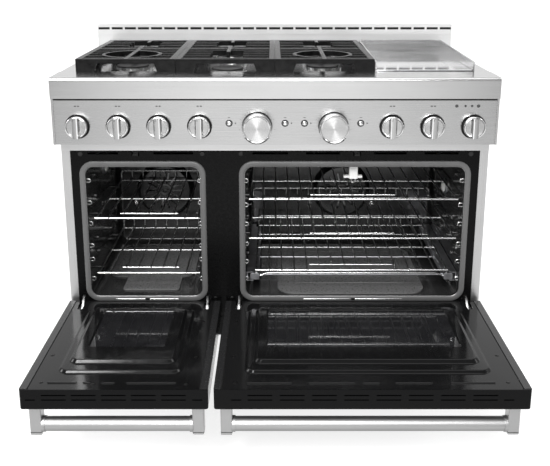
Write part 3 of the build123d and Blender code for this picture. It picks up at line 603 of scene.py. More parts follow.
for n in KNOBS:
    cx, cz = centre(n)
    bm = bmesh.new()
    # skirt, bright lip and recessed face
    prof = [(0, -68.4), (28.6, -68.4), (29.3, -69.0), (29.6, -71.0), (29.8, -84.5), (29.5, -87.2), (28.6, -88.8), (27.2, -89.6), (25.9, -89.6), (25.2, -89.0), (24.9, -88.2), (24.5, -87.9), (0, -87.9)]
    lathe(bm, prof, (cx, cz), n=72, mats=[0, 0, 0, 0, 1, 1, 1, 1, 1, 1, 0, 2])
    # grip blade, clipped to the round outline
    sec = [(-11.6, -87.6), (-10.6, -89.4), (-8.9, -92.0), (-8.3, -98.6), (-7.9, -101.4), (-7.0, -102.4), (-5.0, -102.8), (5.0, -102.8), (7.0, -102.4), (7.9, -101.4), (8.3, -98.6), (8.9, -92.0), (10.6, -89.4), (11.6, -87.6)]
    R = 29.4
    cols = []
    nz = 14
    for x, y in sec:
        h = math.sqrt(R * R - x * x)
        round_off = 0.0 if y > -101.0 else (0.9 if y > -102.6 else 1.8)
        h -= round_off
        cols.append([bm.verts.new(P(cx + x, y, cz - h + 2 * h * k / nz)) for k in range(nz + 1)])
    for a, b in zip(cols, cols[1:] + cols[:1]):
        for k in range(nz):
            f = bm.faces.new((a[k], a[k + 1], b[k + 1], b[k]))
            i = cols.index(a)
            f.material_index = 1 if i in (3, 4, 5, 7, 8, 9) else 0
    bm.faces.new([c[0] for c in cols])
    bm.faces.new([c[-1] for c in reversed(cols)])
    # stem
    lathe(bm, [(0, -34.2), (3.9, -34.2), (3.9, -68.6), (0, -68.6)], (cx, cz), n=20)
    piece(n + "_body", bm, [M["knob"], M["rim"], M["face"]], n, n, angle=32)
    # small index dot
    bm = bmesh.new()
    lathe(bm, [(0, -102.6), (1.5, -102.6), (1.5, -103.0), (0, -103.0)], (cx - 3.5, cz + 22.5), n=16)
    piece(n + "_index", bm, M["mark"], n, (), weighted=False)

for n in ("dial_left", "dial_right"):
    c = centre(n)
    bm = bmesh.new()
    prof = [(0, -67.3), (36.4, -67.3), (36.9, -68.0), (36.9, -79.0), (38.6, -79.4), (39.5, -80.4), (39.8, -82.5), (39.8, -108.5), (39.4, -111.2), (38.3, -113.2), (36.9, -113.9), (35.6, -113.6), (34.7, -112.6), (34.4, -110.8), (34.2, -109.6), (33.6, -109.2), (20.0, -109.5), (0, -109.8)]
    mats = [0, 0, 0, 0, 0, 0, 0, 1, 1, 1, 1, 1, 1, 1, 1, 2, 2]
    lathe(bm, prof, c, n=96, mats=mats)
    lathe(bm, [(0, -34.2), (3.9, -34.2), (3.9, -67.6), (0, -67.6)], c, n=20)
    piece(n + "_body", bm, [M["knob"], M["rim"], M["face"]], n, n, angle=32, weighted=False)
    bm = bmesh.new()
    a = math.radians(-38)
    lathe(bm, [(0, -113.3), (1.3, -113.3), (1.3, -113.98), (0, -113.98)], (c[0] + 37.0 * math.cos(a), c[1] + 37.0 * math.sin(a)), n=14)
    piece(n + "_index", bm, M["mark"], n, (), weighted=False)

for i in range(1, 5):
    n = "button_%d" % i
    c = centre(n)
    bm = bmesh.new()
    lathe(bm, [(0, -48.1), (2.9, -48.1), (2.9, -56.0), (6.9, -56.0), (6.95, -66.5), (6.7, -68.2), (6.0, -69.3), (4.9, -69.8), (0, -69.95)], c, n=40, mats=[0, 0, 0, 1, 1, 0, 0, 0])
    piece(n + "_cap", bm, [M["rim"], M["plastic"]], n, n, weighted=False)

# generic index marks printed on the panel: dashes, dots and bars, no lettering
bm = bmesh.new()
for n in KNOBS[:6]:
    cx, cz = centre(n)
    for dx in (-4.2, 4.2):
        prism(bm, stadium(cx + dx, cz + 55.5, 6.4, 3.0), -64.02, -64.16)
for n in ("dial_left", "dial_right"):
    cx, cz = centre(n)
    for k in range(9):
        a = math.radians(225 - 270.0 * k / 8)
        prism(bm, [(cx + 49.0 * math.cos(a) + u, cz + 49.0 * math.sin(a) + v) for u, v in ((-0.7, -0.7), (0.7, -0.7), (0.7, 0.7), (-0.7, 0.7))], -64.02, -64.14)
for i in range(1, 5):
    cx, cz = centre("button_%d" % i)
    prism(bm, stadium(cx, cz + 15.5, 7.0, 1.5), -64.02, -64.14)
    prism(bm, [(cx + 16.0, cz - 3.0), (cx + 20.0, cz), (cx + 16.0, cz + 3.0)], -64.02, -64.14)
piece("panel_marks", bm, M["mark"], "root", (), weighted=False)


# ---------------------------------------------------------------------------
# door gaskets: braided bead pressed in a rounded frame, clips along the bottom
# ---------------------------------------------------------------------------
MOUTHS = {"left": (-541.0, -215.0, 255.0, 649.0), "right": (-86.0, 542.0, 255.0, 649.0)}
SEC = [(0.6, -0.1), (0.4, -1.8), (1.5, -3.2), (4.4, -4.2), (8.6, -4.5), (12.4, -4.2), (15.2, -3.2), (16.8, -1.8), (17.2, -0.1)]
bm = bmesh.new()
for m in MOUTHS.values():
    loops = []
    for d, y in SEC:
        loops.append([P(u, y, v) for u, v in rr(m[0] - d, m[1] + d, m[2] - d, m[3] + d, 24 + d, 12)])
    stack(bm, loops, closed=True)
piece("gasket_beads", bm, M["gasket"], "root", "gaskets", angle=60, weighted=False)
# thin bright lip that holds each bead against the mouth
bm = bmesh.new()
for m in MOUTHS.values():
    loops = []
    for d, y in ((0.15, -0.6), (0.15, -2.6), (0.55, -3.1), (1.15, -3.1), (1.15, -0.6)):
        loops.append([P(u, y, v) for u, v in rr(m[0] - d, m[1] + d, m[2] - d, m[3] + d, 24 + d, 12)])
    stack(bm, loops, closed=True)
piece("gasket_lips", bm, M["fan_steel"], "root", (), angle=60, weighted=False)

bm = bmesh.new()
for side, (a, b) in {"left": (-470.0, -285.0), "right": (86.0, 376.0)}.items():
    m = MOUTHS[side]
    zz = m[2] - 9.5
    mid = (a + b) / 2
    for u0, u1 in ((a, mid - 7), (mid + 7, b)):
        tube(bm, [(u0, -3.2, zz), (u0 + 2, -3.85, zz), (u1 - 2, -3.85, zz), (u1, -3.2, zz)], 1.9, 12)
piece("gasket_retainers", bm, M["clip"], "root", (), weighted=False)

# dark spring clip in the middle of each retainer
bm = bmesh.new()
for side, mid in (("left", -377.5), ("right", 231.0)):
    zz = MOUTHS[side][2] - 9.5
    prism(bm, stadium(mid, zz, 12.0, 6.5), -4.0, -5.85)
piece("gasket_clips", bm, M["black_bolt"], "root", (), bevel=0.6, angle=40)


def islands(node, keep):
    """Copy of the solids of a CAD node whose centre passes keep(x, y, z)."""
    bm = bmesh.new()
    bm.from_mesh(NODES[node].data)
    bmesh.ops.remove_doubles(bm, verts=bm.verts, dist=1e-6)
    seen, drop = set(), []
    for v0 in bm.verts:
        if v0 in seen:
            continue
        seen.add(v0)
        group, front = [v0], [v0]
        while front:
            v = front.pop()
            for e in v.link_edges:
                w = e.other_vert(v)
                if w not in seen:
                    seen.add(w)
                    group.append(w)
                    front.append(w)
        lo = [min(v.co[i] for v in group) for i in range(3)]
        hi = [max(v.co[i] for v in group) for i in range(3)]
        c = [(a + b) * 500 for a, b in zip(lo, hi)]
        if not keep(c[0], c[1] - YF, c[2]):
            drop += group
    bmesh.ops.delete(bm, geom=drop, context="VERTS")
    bmesh.ops.dissolve_limit(bm, angle_limit=math.radians(0.5), verts=bm.verts, edges=bm.edges)
    return bm


ARM_XS = (-565.0, -199.0, -106.0, 565.0)
piece("hinge_arms", islands("frame_hardware", lambda x, y, z: z < 300 and min(abs(x - a) for a in ARM_XS) < 3), M["clip"], "root", "frame_hardware", bevel=0.6, angle=40)
piece("latch_hooks", islands("frame_hardware", lambda x, y, z: z > 600 and min(abs(x + 396), abs(x - 233)) < 3), M["black_bolt"], "root", (), bevel=0.5, angle=40)
bm = bmesh.new()
for x in (-552.0, -206.0, -97.0, 555.0):
    lathe(bm, [(0, 0.4), (4.0, 0.4), (4.0, -0.2), (7.0, -0.2), (7.0, -1.4), (6.4, -2.4), (5.0, -3.1), (2.6, -3.45), (0, -3.5)], (x, 687.0), n=32)
piece("rubber_bumpers", bm, M["rubber"], "root", (), angle=40, weighted=False)
bm = bmesh.new()
for x in (-176.0, -127.0):
    lathe(bm, [(0, 0.4), (6.4, 0.4), (6.4, -0.5), (5.0, -0.7), (5.0, -1.3), (4.4, -1.8), (2.4, -2.0), (2.0, -1.2), (0, -1.2)], (x, 246.0), n=24)
piece("frame_bolts", bm, M["black_bolt"], "root", (), angle=40, weighted=False)

# ---------------------------------------------------------------------------
# oven fittings: burners, igniter, floor plates and fan covers
# ---------------------------------------------------------------------------
piece("burner_tubes", islands("oven_burners", lambda x, y, z: not (abs(x - 227) < 30 and abs(y - 51) < 25)), M["zinc"], "root", "oven_burners", angle=40)
bm = islands("oven_burners", lambda x, y, z: abs(x - 227) < 30 and abs(y - 51) < 25)
piece("igniter_block", bm, M["ceramic"], "root", (), bevel=1.2, angle=40)
bm = bmesh.new()
for dx in (-6.0, 6.0):
    tube(bm, [(228 + dx, 51, 604), (228 + dx, 51, 596), (228 + dx * 0.7, 52, 590), (228, 54, 587)], 1.6, 8)
piece("igniter_leads", bm, M["wire"], "root", (), weighted=False)


def quarter(cx, cy, r, a0, a1, n=8):
    return [(cx + r * math.cos(math.radians(a0 + (a1 - a0) * k / n)), cy + r * math.sin(math.radians(a0 + (a1 - a0) * k / n))) for k in range(n + 1)]


# left plate narrows to a tab at the front, right plate is a rounded tray
left_out = (quarter(-287, 371, 34, 0, 90) + quarter(-484, 371, 34, 90, 180) + quarter(-482, 184, 38, 180, 268)[:-1]
            + quarter(-470, 134, 12, 90, 0)[:-1] + [(-458, 80)] + quarter(-450, 52, 8, 180, 270) + quarter(-297, 52, 8, 270, 360) + [(-289, 80)]
            + quarter(-277, 134, 12, 180, 90)[:-1] + quarter(-291, 184, 38, 272, 360))
right_out = rr(8.0, 450.0, 15.0, 405.0, 52.0, 10)
bm = bmesh.new()
prism(bm, left_out, 252.25, 256.4, plane="xy")
prism(bm, right_out, 252.25, 256.4, plane="xy")
piece("floor_plate_sheets", bm, M["plate"], "root", "floor_plates", bevel=1.4, seg=3, angle=60)
bm = bmesh.new()
for x0, x1, y0, y1 in ((-500.0, -271.0, 186.0, 372.0), (56.0, 404.0, 92.0, 372.0)):
    loops = []
    for d, z in ((0.0, 256.35), (1.0, 257.4), (2.6, 257.9), (4.4, 257.9), (6.0, 257.4), (7.0, 256.35)):
        loops.append([P(u, v, z) for u, v in rr(x0 + d, x1 - d, y0 + d, y1 - d, 26 - d * 0.8, 8)])
    stack(bm, loops, closed=True)
piece("floor_plate_beads", bm, M["plate"], "root", (), angle=60)

for tag, (cx, cz) in (("left", (-378.0, 446.0)), ("right", (230.0, 444.0))):
    bm = bmesh.new()
    # sloping skirt and flat outer ring
    lathe_ring(bm, [(99.0, 482.2), (99.5, 480.6), (97.5, 479.4), (88.0, 456.4), (86.0, 454.6), (83.0, 453.6), (66.0, 453.4), (64.5, 453.9), (64.5, 455.0), (84.0, 455.2), (95.0, 482.2)], (cx, cz), n=96)
    # spokes between the slots
    for k in range(14):
        a = 2 * math.pi * (k + 0.5) / 14
        pts = []
        for r, sgn in ((24.0, -1), (66.0, -1), (66.0, 1), (24.0, 1)):
            hw = r * math.sin(math.pi / 14) - 2.5
            pts.append((cx + r * math.cos(a) - sgn * hw * math.sin(a), cz + r * math.sin(a) + sgn * hw * math.cos(a)))
        prism(bm, pts, 453.5, 455.0)
    # dished hub with a pressed centre
    lathe(bm, [(0, 455.0), (25.0, 455.0), (25.4, 453.6), (24.0, 452.7), (15.0, 452.4), (12.0, 453.2), (6.0, 453.4), (4.0, 452.2), (0, 451.9)], (cx, cz), n=48)
    piece("fan_cover_" + tag, bm, M["oven"], "root", "fan_covers" if tag == "left" else (), angle=45)
bm = bmesh.new()
for x, z in ((121.0, 391.0), (339.0, 391.0), (-485.0, 393.0), (-236.0, 500.0)):
    lathe(bm, [(0, 483.0), (9.0, 483.0), (9.0, 481.0), (7.4, 479.8), (6.4, 479.6), (6.0, 477.0), (4.4, 475.2), (2.0, 474.4), (0, 474.2)], (x, z), n=32)
piece("rear_wall_bolts", bm, M["clip"], "root", (), angle=40, weighted=False)
# steel rack rests on the side walls, a small step at each level
bm = bmesh.new()
for side, levels in (("left", (602.0, 536.0, 472.0, 404.0, 361.0, 300.0)), ("right", (602.0, 529.0, 471.0, 409.0, 354.0, 300.0))):
    x0, x1 = MOUTHS[side][0], MOUTHS[side][1]
    for z in levels:
        for xw, sg in ((x0, 1), (x1, -1)):
            tube(bm, [(xw - sg * 1.0, 22.0, z + 5), (xw + sg * 5.0, 22.0, z + 5), (xw + sg * 7.5, 22.0, z + 3), (xw + sg * 7.5, 22.0, z - 3), (xw + sg * 5.0, 22.0, z - 5), (xw - sg * 1.0, 22.0, z - 5)], 1.7, 8)
piece("rack_rests", bm, M["clip"], "root", (), angle=60, weighted=False)


def wire_rack(node, x0, x1, zc, n_wires, grip, body, y0=20.0, y1=450.0, extra=None):
    """Chromed rack as the wires really run: long wires turned up into the rear
    stop, one bold front bar and a short grip bar above the hand gap. The bold
    bars take the brightest chrome copy as painted highlight, the cross bars and
    long wires darker copies as painted shade."""
    bold, mid, dim = bmesh.new(), bmesh.new(), bmesh.new()
    tube(bold, [(x0 + 0.5, y0 + 3, zc), (x1 - 0.5, y0 + 3, zc)], 3.7, 14)
    tube(bold, [(grip[0] - 10, 70, zc - 1.0), (grip[1] + 10, 70, zc - 1.0)], 2.9, 12)
    for x in (x0 + 3.0, x1 - 3.0):
        tube(mid, [(x, y0 + 2, zc), (x, y1 - 12, zc), (x, y1 - 6, zc + 3), (x, y1 - 4.4, zc + 9), (x, y1 - 4.2, zc + 20)], 2.9, 10)
    tube(mid, [(x0 + 1.5, 218, zc), (x1 - 1.5, 218, zc)], 2.7, 10)
    tube(mid, [(x0 + 1.5, y1 - 14, zc), (x1 - 1.5, y1 - 14, zc)], 2.5, 10)
    zt = zc + 31.5
    yy = y1 - 4.2
    stop = [(x0 + 3, yy, zc + 16)] + [(x0 + 13 - 10 * math.cos(a), yy, zt - 10 + 10 * math.sin(a)) for a in (0, 0.4, 0.8, 1.2, math.pi / 2)]
    stop += [(x1 - 13 + 10 * math.sin(a), yy, zt - 10 + 10 * math.cos(a)) for a in (0, 0.4, 0.8, 1.2, math.pi / 2)] + [(x1 - 3, yy, zc + 16)]
    tube(mid, stop, 2.9, 10)
    pitch = (x1 - x0 - 6.0) / (n_wires - 1)
    for i in range(1, n_wires - 1):
        x = x0 + 3.0 + pitch * i
        inside = grip[0] < x < grip[1]
        ys = 69.0 if inside else y0 + 2.0
        zs = zc + 3.6
        tube(dim, [(x, ys, zs), (x, y1 - 18, zs), (x, y1 - 11, zs + 1.5), (x, y1 - 7.5, zs + 5), (x, y1 - 7.0, zs + 11), (x, y1 - 7.0, zt - 0.5)], 2.2, 8)
        tube(bold, [(x, ys - 4.2, zs - 3.0), (x, ys - 2.6, zs - 0.4), (x, ys, zs + 0.2), (x, ys + 6.0, zs + 0.15)], 2.35, 8)
    if extra:
        extra(bold, mid, dim)
    # same chrome in each set: brightest copy as painted highlight, darker copies as painted shade
    piece(node + "_front_bars", bold, M["wire"], body, node, angle=50, weighted=False)
    piece(node + "_cross_bars", mid, M["wire_painted_half_shade"], body, (), angle=50, weighted=False)
    piece(node + "_long_wires", dim, M["wire_dim"], body, (), angle=50, weighted=False)


for node, x0, x1, z, n, grip in (
    ("rack_left_upper", -526, -223, 488.0, 9, (-450, -300)), ("rack_left_lower", -526, -223, 317.0, 9, (-450, -300)),
    ("rack_right_upper", -76, 532, 546.0, 17, (115, 345)), ("rack_right_middle", -76, 532, 426.0, 17, (115, 345)),
):
    wire_rack(node, x0, x1, z, n, grip, node)


def rollout_extra(bold, mid, dim):
    # links on the slide members, the lower rod with its joggles and a second cross rod
    for x0, x1, xr in ((-74.0, -46.0, -55.0), (502.0, 530.0, 511.0)):
        for y0 in (27.0, 427.0):
            box(dim, xr - 2.2, xr + 2.2, y0, y0 + 14, 314, 324)
    front = [(-52, 30, 306), (-44, 30, 306), (-36, 30, 309), (-28, 30, 313), (-18, 30, 314.5), (474, 30, 314.5), (484, 30, 313), (492, 30, 309), (500, 30, 306), (508, 30, 306)]
    tube(bold, front, 2.6, 10)
    tube(mid, [(-56, 342, 326), (512, 342, 326)], 2.4, 10)


wire_rack("rollout_rack", -58, 514, 326.0, 16, (115, 345), "rollout_rack", extra=rollout_extra)
bm = bmesh.new()
for x0, x1 in ((-74.0, -46.0), (502.0, 530.0)):
    pts = rr(x0, x1, 296.0, 316.0, 3.5, 5)
    stack(bm, [[P(x0 + (u - x0) * 0.94 + 0.8, 22.0, 306 + (v - 306) * 0.92) for u, v in pts], [P(u, 23.2, v) for u, v in pts], [P(u, 451.0, v) for u, v in pts], [P(x0 + (u - x0) * 0.94 + 0.8, 452.0, 306 + (v - 306) * 0.92) for u, v in pts]])
piece("rollout_slide_members", bm, M["zinc"], "rollout_rack", (), bevel=0.5, angle=45)

# ---------------------------------------------------------------------------
# oven boxes: seamless enamelled liners with rolled corners and rack bosses
# ---------------------------------------------------------------------------
PEG_Y = (96.0, 386.0)
LADDER = {"left": (600.0, 536.0, 479.7, 404.0, 361.0, 308.7), "right": (602.0, 537.7, 471.0, 417.7, 354.0, 286.7)}
SUPPORT = {"left": (479.7, 308.7), "right": (537.7, 417.7, 286.7)}
INSET = {"left": 22.0, "right": 14.0}
for side, m in MOUTHS.items():
    node = "oven_liner_" + side
    bm = bmesh.new()
    x0, x1, z0, z1 = m[0], m[1], 252.0, 652.0
    loops = []
    for g, y, r in ((-0.4, 3.3, 24), (0.0, 6.0, 24), (0.0, 462.0, 24), (-2.0, 474.0, 24), (-7.0, 480.5, 26), (-14.0, 482.6, 30)):
        loops.append([P(u, y, v) for u, v in rr(x0 - g, x1 + g, z0 - g, z1 + g, r, 8)])
    outer = []
    for g, y, r in ((2.6, 3.3, 26), (2.6, 478.0, 26), (0.0, 485.8, 24)):
        outer.append([P(u, y, v) for u, v in rr(x0 - g, x1 + g, z0 - g, z1 + g, r, 8)])
    vs = stack(bm, list(reversed(loops)) + outer, first=True, last=True)
    # bosses on both side walls
    for z in LADDER[side]:
        sup = z in SUPPORT[side]
        length = INSET[side] if sup else 8.5
        for yy in PEG_Y:
            for s, xw in ((1, x0), (-1, x1)):
                r = 4.95 if sup else 6.5
                prof = [(r + 2.0, xw - s * 1.5), (r + 2.0, xw + s * 0.2), (r + 0.4, xw + s * 1.6), (r, xw + s * 3.2), (r, xw + s * (length - 1.6)), (r - 0.6, xw + s * (length - 0.5)), (r - 2.2, xw + s * length), (0, xw + s * length)]
                if sup:
                    prof = [(r, xw - s * 1.5)] + prof[4:]
                lathe(bm, [(0, xw - s * 1.5)] + prof, (yy, z), axis="x", n=20)
    piece(node + "_shell", bm, M["oven"], "root", node, angle=40)

# oven lamps on the upper side walls
bm = bmesh.new()
for xw, s, yy, zz in ((-541.0, 1, 260.0, 585.0), (542.0, -1, 250.0, 520.0)):
    lathe(bm, [(0, xw - s * 1.0), (26.0, xw - s * 1.0), (26.0, xw + s * 2.0), (24.0, xw + s * 4.0), (20.0, xw + s * 4.6), (0, xw + s * 4.6)], (yy, zz), axis="x", n=40)
piece("lamp_bezels", bm, M["zinc"], "root", (), weighted=False)
bm = bmesh.new()
for xw, s, yy, zz in ((-541.0, 1, 260.0, 585.0), (542.0, -1, 250.0, 520.0)):
    lathe(bm, [(0, xw + s * 4.0), (18.0, xw + s * 4.0), (17.5, xw + s * 7.0), (14.0, xw + s * 10.5), (8.0, xw + s * 12.6), (0, xw + s * 13.4)], (yy, zz), axis="x", n=36)
piece("lamp_lenses", bm, M["lens"], "root", (), weighted=False)


# ---------------------------------------------------------------------------
# doors: pressed inner panels
# ---------------------------------------------------------------------------
LINERS = {
    "left": dict(out=(-585.0, -179.0), base=(-534.0, -229.0, -447.0, -72.0), plateau=(-515.0, -248.0, -410.0, -84.0), win=(-478.0, -286.0, -331.0, -112.0)),
    "right": dict(out=(-126.0, 585.0), base=(-75.0, 532.0, -447.0, -72.0), plateau=(-54.0, 512.0, -410.0, -84.0), win=(-19.0, 477.0, -331.0, -112.0)),
}
ARMS = {"left": (-565.0, -199.0), "right": (-106.0, 565.0)}
for side, d in LINERS.items():
    x0, x1 = d["out"]
    b0, b1, by0, by1 = d["base"]
    p0, p1, py0, py1 = d["plateau"]
    w0, w1, wy0, wy1 = d["win"]
    Z = 243.0

    def L(a0, a1, c0, c1, r, z, g=0.0):
        return [P(u, v, z) for u, v in rr(a0 - g, a1 + g, c0 - g, c1 + g, r, 10)]

    top = [
        L(x0, x1, -522.0, -16.4, 6, Z - 1.9),
        L(x0, x1, -522.0, -16.4, 6, Z - 0.6),
        L(x0, x1, -522.0, -16.4, 5, Z, -0.6),
        L(b0, b1, by0, by1, 26, Z, 1.6),
        L(b0, b1, by0, by1, 24, Z + 0.5, -0.2),
        L(b0, b1, by0, by1, 22, Z + 1.6, -1.6),
        L(b0, b1, by0, by1, 20, Z + 5.4, -4.6),
        L(b0, b1, by0, by1, 18, Z + 6.5, -5.9),
        L(b0, b1, by0, by1, 17, Z + 7.0, -7.8),
        L(p0, p1, py0, py1, 22, Z + 7.0, 1.6),
        L(p0, p1, py0, py1, 20, Z + 7.5, -0.2),
        L(p0, p1, py0, py1, 18, Z + 8.6, -1.8),
        L(p0, p1, py0, py1, 16, Z + 14.2, -6.2),
        L(p0, p1, py0, py1, 14, Z + 15.5, -7.8),
        L(p0, p1, py0, py1, 13, Z + 15.9, -9.8),
        L(w0, w1, wy0, wy1, 8, Z + 15.9, 5.0),
        L(w0, w1, wy0, wy1, 7, Z + 15.5, 3.4),
        L(w0, w1, wy0, wy1, 5, Z + 14.0, 1.6),
        L(w0, w1, wy0, wy1, 4, Z + 13.4, 0.2),
    ]
    under = [
        L(w0, w1, wy0, wy1, 4, Z + 13.2, 1.6),
        L(p0, p1, py0, py1, 12, Z + 13.6, -10.4),
        L(p0, p1, py0, py1, 18, Z + 5.0, -3.0),
        L(b0, b1, by0, by1, 20, Z - 1.0, -4.0),
        L(b0, b1, by0, by1, 22, Z - 1.9, 2.0),
    ]
    bm = bmesh.new()
    stack(bm, top + under, closed=True)
    bm = carve(bm, [(a - 8.0, a + 8.0, -71.0, -10.0, 230.0, 252.0) for a in ARMS[side]])
    piece("door_%s_panel" % side, bm, M["door_in"], "door_" + side, "door_%s_liner" % side, angle=60, weighted=True)

# pressed vents and screws on the inner panels
VENTS = {
    "left": [(-547, -474), (-461, -440), (-417, -383), (-358, -236)],
    "right": [(-70, 42), (77, 192), (207, 250), (285, 377), (418, 528)],
}
SCREWS = {
    "left": [(-569, -352), (-561, -489), (-436, -498), (-213, -498), (-202, -362), (-199, -154)],
    "right": [(-96, -491), (-107, -360), (-107, -150), (566, -353), (557, -489)],
}
for side in ("left", "right"):
    bm = bmesh.new()
    for a, b in VENTS[side]:
        # raised louvre over a dark plate painted as the shade in the slot
        cx = (a + b) / 2
        pts = stadium(cx, -490.0, b - a, 9.0, 6)
        up = [P(u, v, 243.05) for u, v in pts]
        ins = [P(cx + (u - cx) * (1 - 3.0 / (b - a)), -490.0 + (v + 490.0) * 0.62, 244.6) for u, v in pts]
        ins2 = [P(cx + (u - cx) * (1 - 5.0 / (b - a)), -490.0 + (v + 490.0) * 0.30, 245.0) for u, v in pts]
        stack(bm, [up, ins, ins2])
    piece("door_%s_louvres" % side, bm, M["door_in"], "door_" + side, (), angle=50)
    # dark plates under the louvres: painted shade for the vent slots
    bm = bmesh.new()
    for a, b in VENTS[side]:
        prism(bm, stadium((a + b) / 2, -496.6, (b - a) - 6, 2.4), 243.04, 243.25, plane="xy")
    piece("door_%s_vent_slots" % side, bm, M["dark_gap"], "door_" + side, (), weighted=False)
    bm = bmesh.new()
    for x, y in SCREWS[side]:
        lathe(bm, [(0, 243.04), (4.9, 243.04), (4.9, 243.3), (4.2, 243.7), (2.8, 243.95), (1.5, 243.98), (1.2, 243.5), (0, 243.5)], (x, y), axis="z", n=24)
    piece("door_%s_screws" % side, bm, M["black_bolt"], "door_" + side, (), weighted=False)
    # satin rims either side of the panel, a dark joint between
    x0, x1 = LINERS[side]["out"]
    bm = bmesh.new()
    for u0, u1 in ((x0 - 18.6, x0 - 1.6), (x1 + 1.6, x1 + 18.6)):
        prism(bm, rr(u0, u1, -521.0, -16.6, 2.5, 4), 244.02, 244.7, plane="xy")
    piece("door_%s_rims" % side, bm, M["rim_grey"], "door_" + side, (), bevel=0.3, angle=40)
    bm = bmesh.new()
    for u0, u1 in ((x0 - 1.2, x0 - 0.1), (x1 + 0.1, x1 + 1.2)):
        box(bm, u0, u1, -520.0, -17.0, 242.0, 243.2)
    piece("door_%s_joints" % side, bm, M["dark_gap"], "door_" + side, (), weighted=False)


# joint line round the foot of each handle post
for side, posts in (("left", ((-592, -564), (-200, -172))), ("right", ((-132, -104), (561, 589)))):
    bm = bmesh.new()
    for u0, u1 in posts:
        loops = []
        for g, z in ((-1.0, 115.9), (0.22, 115.9), (0.22, 117.4), (-1.0, 117.4)):
            loops.append([P(u, v, z) for u, v in rr(u0 - g, u1 + g, -503.0 - g, -469.0 + g, 3.0, 5)])
        stack(bm, loops, closed=True)
    piece("door_%s_handle_joints" % side, bm, M["dark_gap"], "door_" + side, (), weighted=False)


# ---------------------------------------------------------------------------
# front edges: a dark strip painted as the shadow under the nose, dark plates painted as the shade inside the vent row
# ---------------------------------------------------------------------------
# dark strip under the nose overhang: painted shadow
bm = bmesh.new()
box(bm, -601.4, 601.4, -66.6, -64.05, 851.6, 857.0)
piece("nose_painted_shadow_strip", bm, M["dark_gap"], "root", (), bevel=0.3, angle=40)
# dark plates filling the backguard vent slots: painted shade for the dark inside of the slots
bm = bmesh.new()
for i in range(27):
    cx = -586.0 + 45.08 * i
    box(bm, cx - 18.98, cx + 18.98, 587.5, 589.6, 983.75, 991.65)
piece("vent_slot_painted_shade", bm, M["dark_gap"], "root", (), weighted=False)


# ---------------------------------------------------------------------------
# stage, lights and camera
# ---------------------------------------------------------------------------
bm = bmesh.new()
n = 64
ring = [bm.verts.new((40 * math.cos(2 * math.pi * k / n), 40 * math.sin(2 * math.pi * k / n), 0.0)) for k in range(n)]
bm.faces.new(ring)
me = bpy.data.meshes.new("floor")
bm.to_mesh(me)
bm.free()
floor = bpy.data.objects.new("floor", me)
bpy.context.scene.collection.objects.link(floor)
fm, fnt, fb = new_mat("pale_floor")
fb.inputs["Base Color"].default_value = (0.40, 0.40, 0.40, 1)
fb.inputs["Roughness"].default_value = 0.9
fb.inputs["Specular IOR Level"].default_value = 0.0
fb.inputs["Emission Color"].default_value = (1, 1, 1, 1)
fb.inputs["Emission Strength"].default_value = 0.80
me.materials.append(fm)
floor.visible_glossy = False

# studio surroundings: pale cyclorama for the background, soft boxes and flags
# for what the metal and the enamel mirror
world = bpy.data.worlds.new("studio")
bpy.context.scene.world = world
world.use_nodes = True
wn = world.node_tree
bg = wn.nodes["Background"]
tc = wn.nodes.new("ShaderNodeTexCoord")
sep = wn.nodes.new("ShaderNodeSeparateXYZ")
wn.links.new(tc.outputs["Generated"], sep.inputs["Vector"])
half = wn.nodes.new("ShaderNodeMapRange")
half.inputs["From Min"].default_value = -1.0
half.inputs["From Max"].default_value = 1.0
wn.links.new(sep.outputs["Z"], half.inputs["Value"])
ramp = wn.nodes.new("ShaderNodeValToRGB")
RAMP = [(-1.0, 0.60), (-0.70, 0.95), (-0.38, 0.95), (-0.22, 0.30), (-0.03, 0.28), (0.02, 0.14), (0.18, 0.16), (0.32, 0.40), (0.62, 0.40), (0.76, 0.22), (0.9, 0.30), (1.0, 0.60)]
e = ramp.color_ramp.elements
e[0].position, e[0].color = 0.0, (RAMP[0][1],) * 3 + (1,)
e[1].position, e[1].color = 1.0, (RAMP[-1][1],) * 3 + (1,)
for z, val in RAMP[1:-1]:
    el = e.new((z + 1) / 2)
    el.color = (val, val, val, 1)
wn.links.new(half.outputs["Result"], ramp.inputs["Fac"])
total = ramp.outputs["Color"]


def blob(total, direction, inner, outer, value):
    d = wn.nodes.new("ShaderNodeVectorMath")
    d.operation = "DOT_PRODUCT"
    d.inputs[1].default_value = Vector(direction).normalized()
    wn.links.new(tc.outputs["Generated"], d.inputs[0])
    m = wn.nodes.new("ShaderNodeMapRange")
    m.interpolation_type = "SMOOTHSTEP"
    m.inputs["From Min"].default_value = math.cos(math.radians(outer))
    m.inputs["From Max"].default_value = math.cos(math.radians(inner))
    m.inputs["To Max"].default_value = value
    wn.links.new(d.outputs["Value"], m.inputs["Value"])
    a = wn.nodes.new("ShaderNodeMath")
    a.operation = "ADD"
    wn.links.new(total, a.inputs[0])
    wn.links.new(m.outputs["Result"], a.inputs[1])
    return a.outputs["Value"]


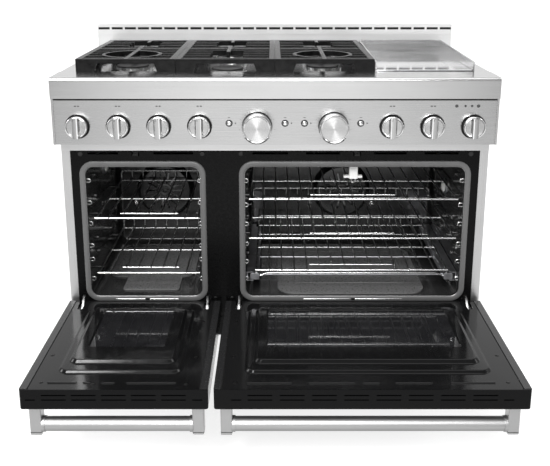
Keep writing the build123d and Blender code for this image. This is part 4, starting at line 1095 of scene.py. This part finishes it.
for args in (
    ((0.0, -1.0, -0.16), 3, 20, 0.98),       # bright floor in front
    ((-0.87, 0.15, 0.45), 5, 12, 9.0),         # left soft box
    ((-0.87, 0.10, 0.40), 8, 30, 0.35),
    ((-1.0, 0.0, -0.05), 12, 44, 0.50),         # pale sides
    ((1.0, 0.0, -0.05), 12, 44, 0.50),
    ((0.75, 0.05, 0.66), 5, 11, 6.0),          # right soft box
    ((0.80, 0.0, 0.50), 8, 30, 0.35),
    ((0.0, 1.0, 0.28), 20, 60, 0.72),          # back wall
    ((0.0, -0.93, 0.36), 4, 14, 0.55),          # front overhead strip
):
    total = blob(total, *args)
lp = wn.nodes.new("ShaderNodeLightPath")
pick = wn.nodes.new("ShaderNodeMix")
pick.data_type = "FLOAT"
wn.links.new(lp.outputs["Is Camera Ray"], pick.inputs[0])
wn.links.new(total, pick.inputs[2])
pick.inputs[3].default_value = 1.0
wn.links.new(pick.outputs[0], bg.inputs["Color"])
bg.inputs["Strength"].default_value = 1.0


def area(name, loc, target, size, power):
    d = bpy.data.lights.new(name, "AREA")
    d.shape = "RECTANGLE"
    d.size, d.size_y = size
    d.energy = power
    o = bpy.data.objects.new(name, d)
    bpy.context.scene.collection.objects.link(o)
    o.location = loc
    o.rotation_euler = (Vector(target) - Vector(loc)).to_track_quat("-Z", "Y").to_euler()
    return o


sun = bpy.data.lights.new("key_sun", "SUN")
sun.energy = 1.6
sun.angle = math.radians(14)
so = bpy.data.objects.new("key_sun", sun)
bpy.context.scene.collection.objects.link(so)
so.rotation_euler = Vector((0.42, 0.85, -1.05)).to_track_quat("-Z", "Y").to_euler()
area("top_softbox", (0.0, -0.4, 3.2), (0.0, 0.2, 0.9), (2.6, 1.2), 26)
area("front_fill", (-0.4, -3.1, 2.3), (0.0, 0.2, 0.5), (2.4, 1.0), 85)

cam_data = bpy.data.cameras.new("camera")
cam_data.sensor_width = 36.0
cam_data.lens = 819.44 / 550.0 * 36.0
cam_data.shift_x = (275.0 - 273.07) / 550.0
cam_data.shift_y = -0.12
cam = bpy.data.objects.new("camera", cam_data)
bpy.context.scene.collection.objects.link(cam)
cam.location = P(-5.56, -2256.7, 1236.7)
cam.rotation_euler = (math.pi / 2 - 0.255, 0.0, 0.0)
bpy.context.scene.camera = cam
bpy.context.scene.view_settings.view_transform = "Standard"
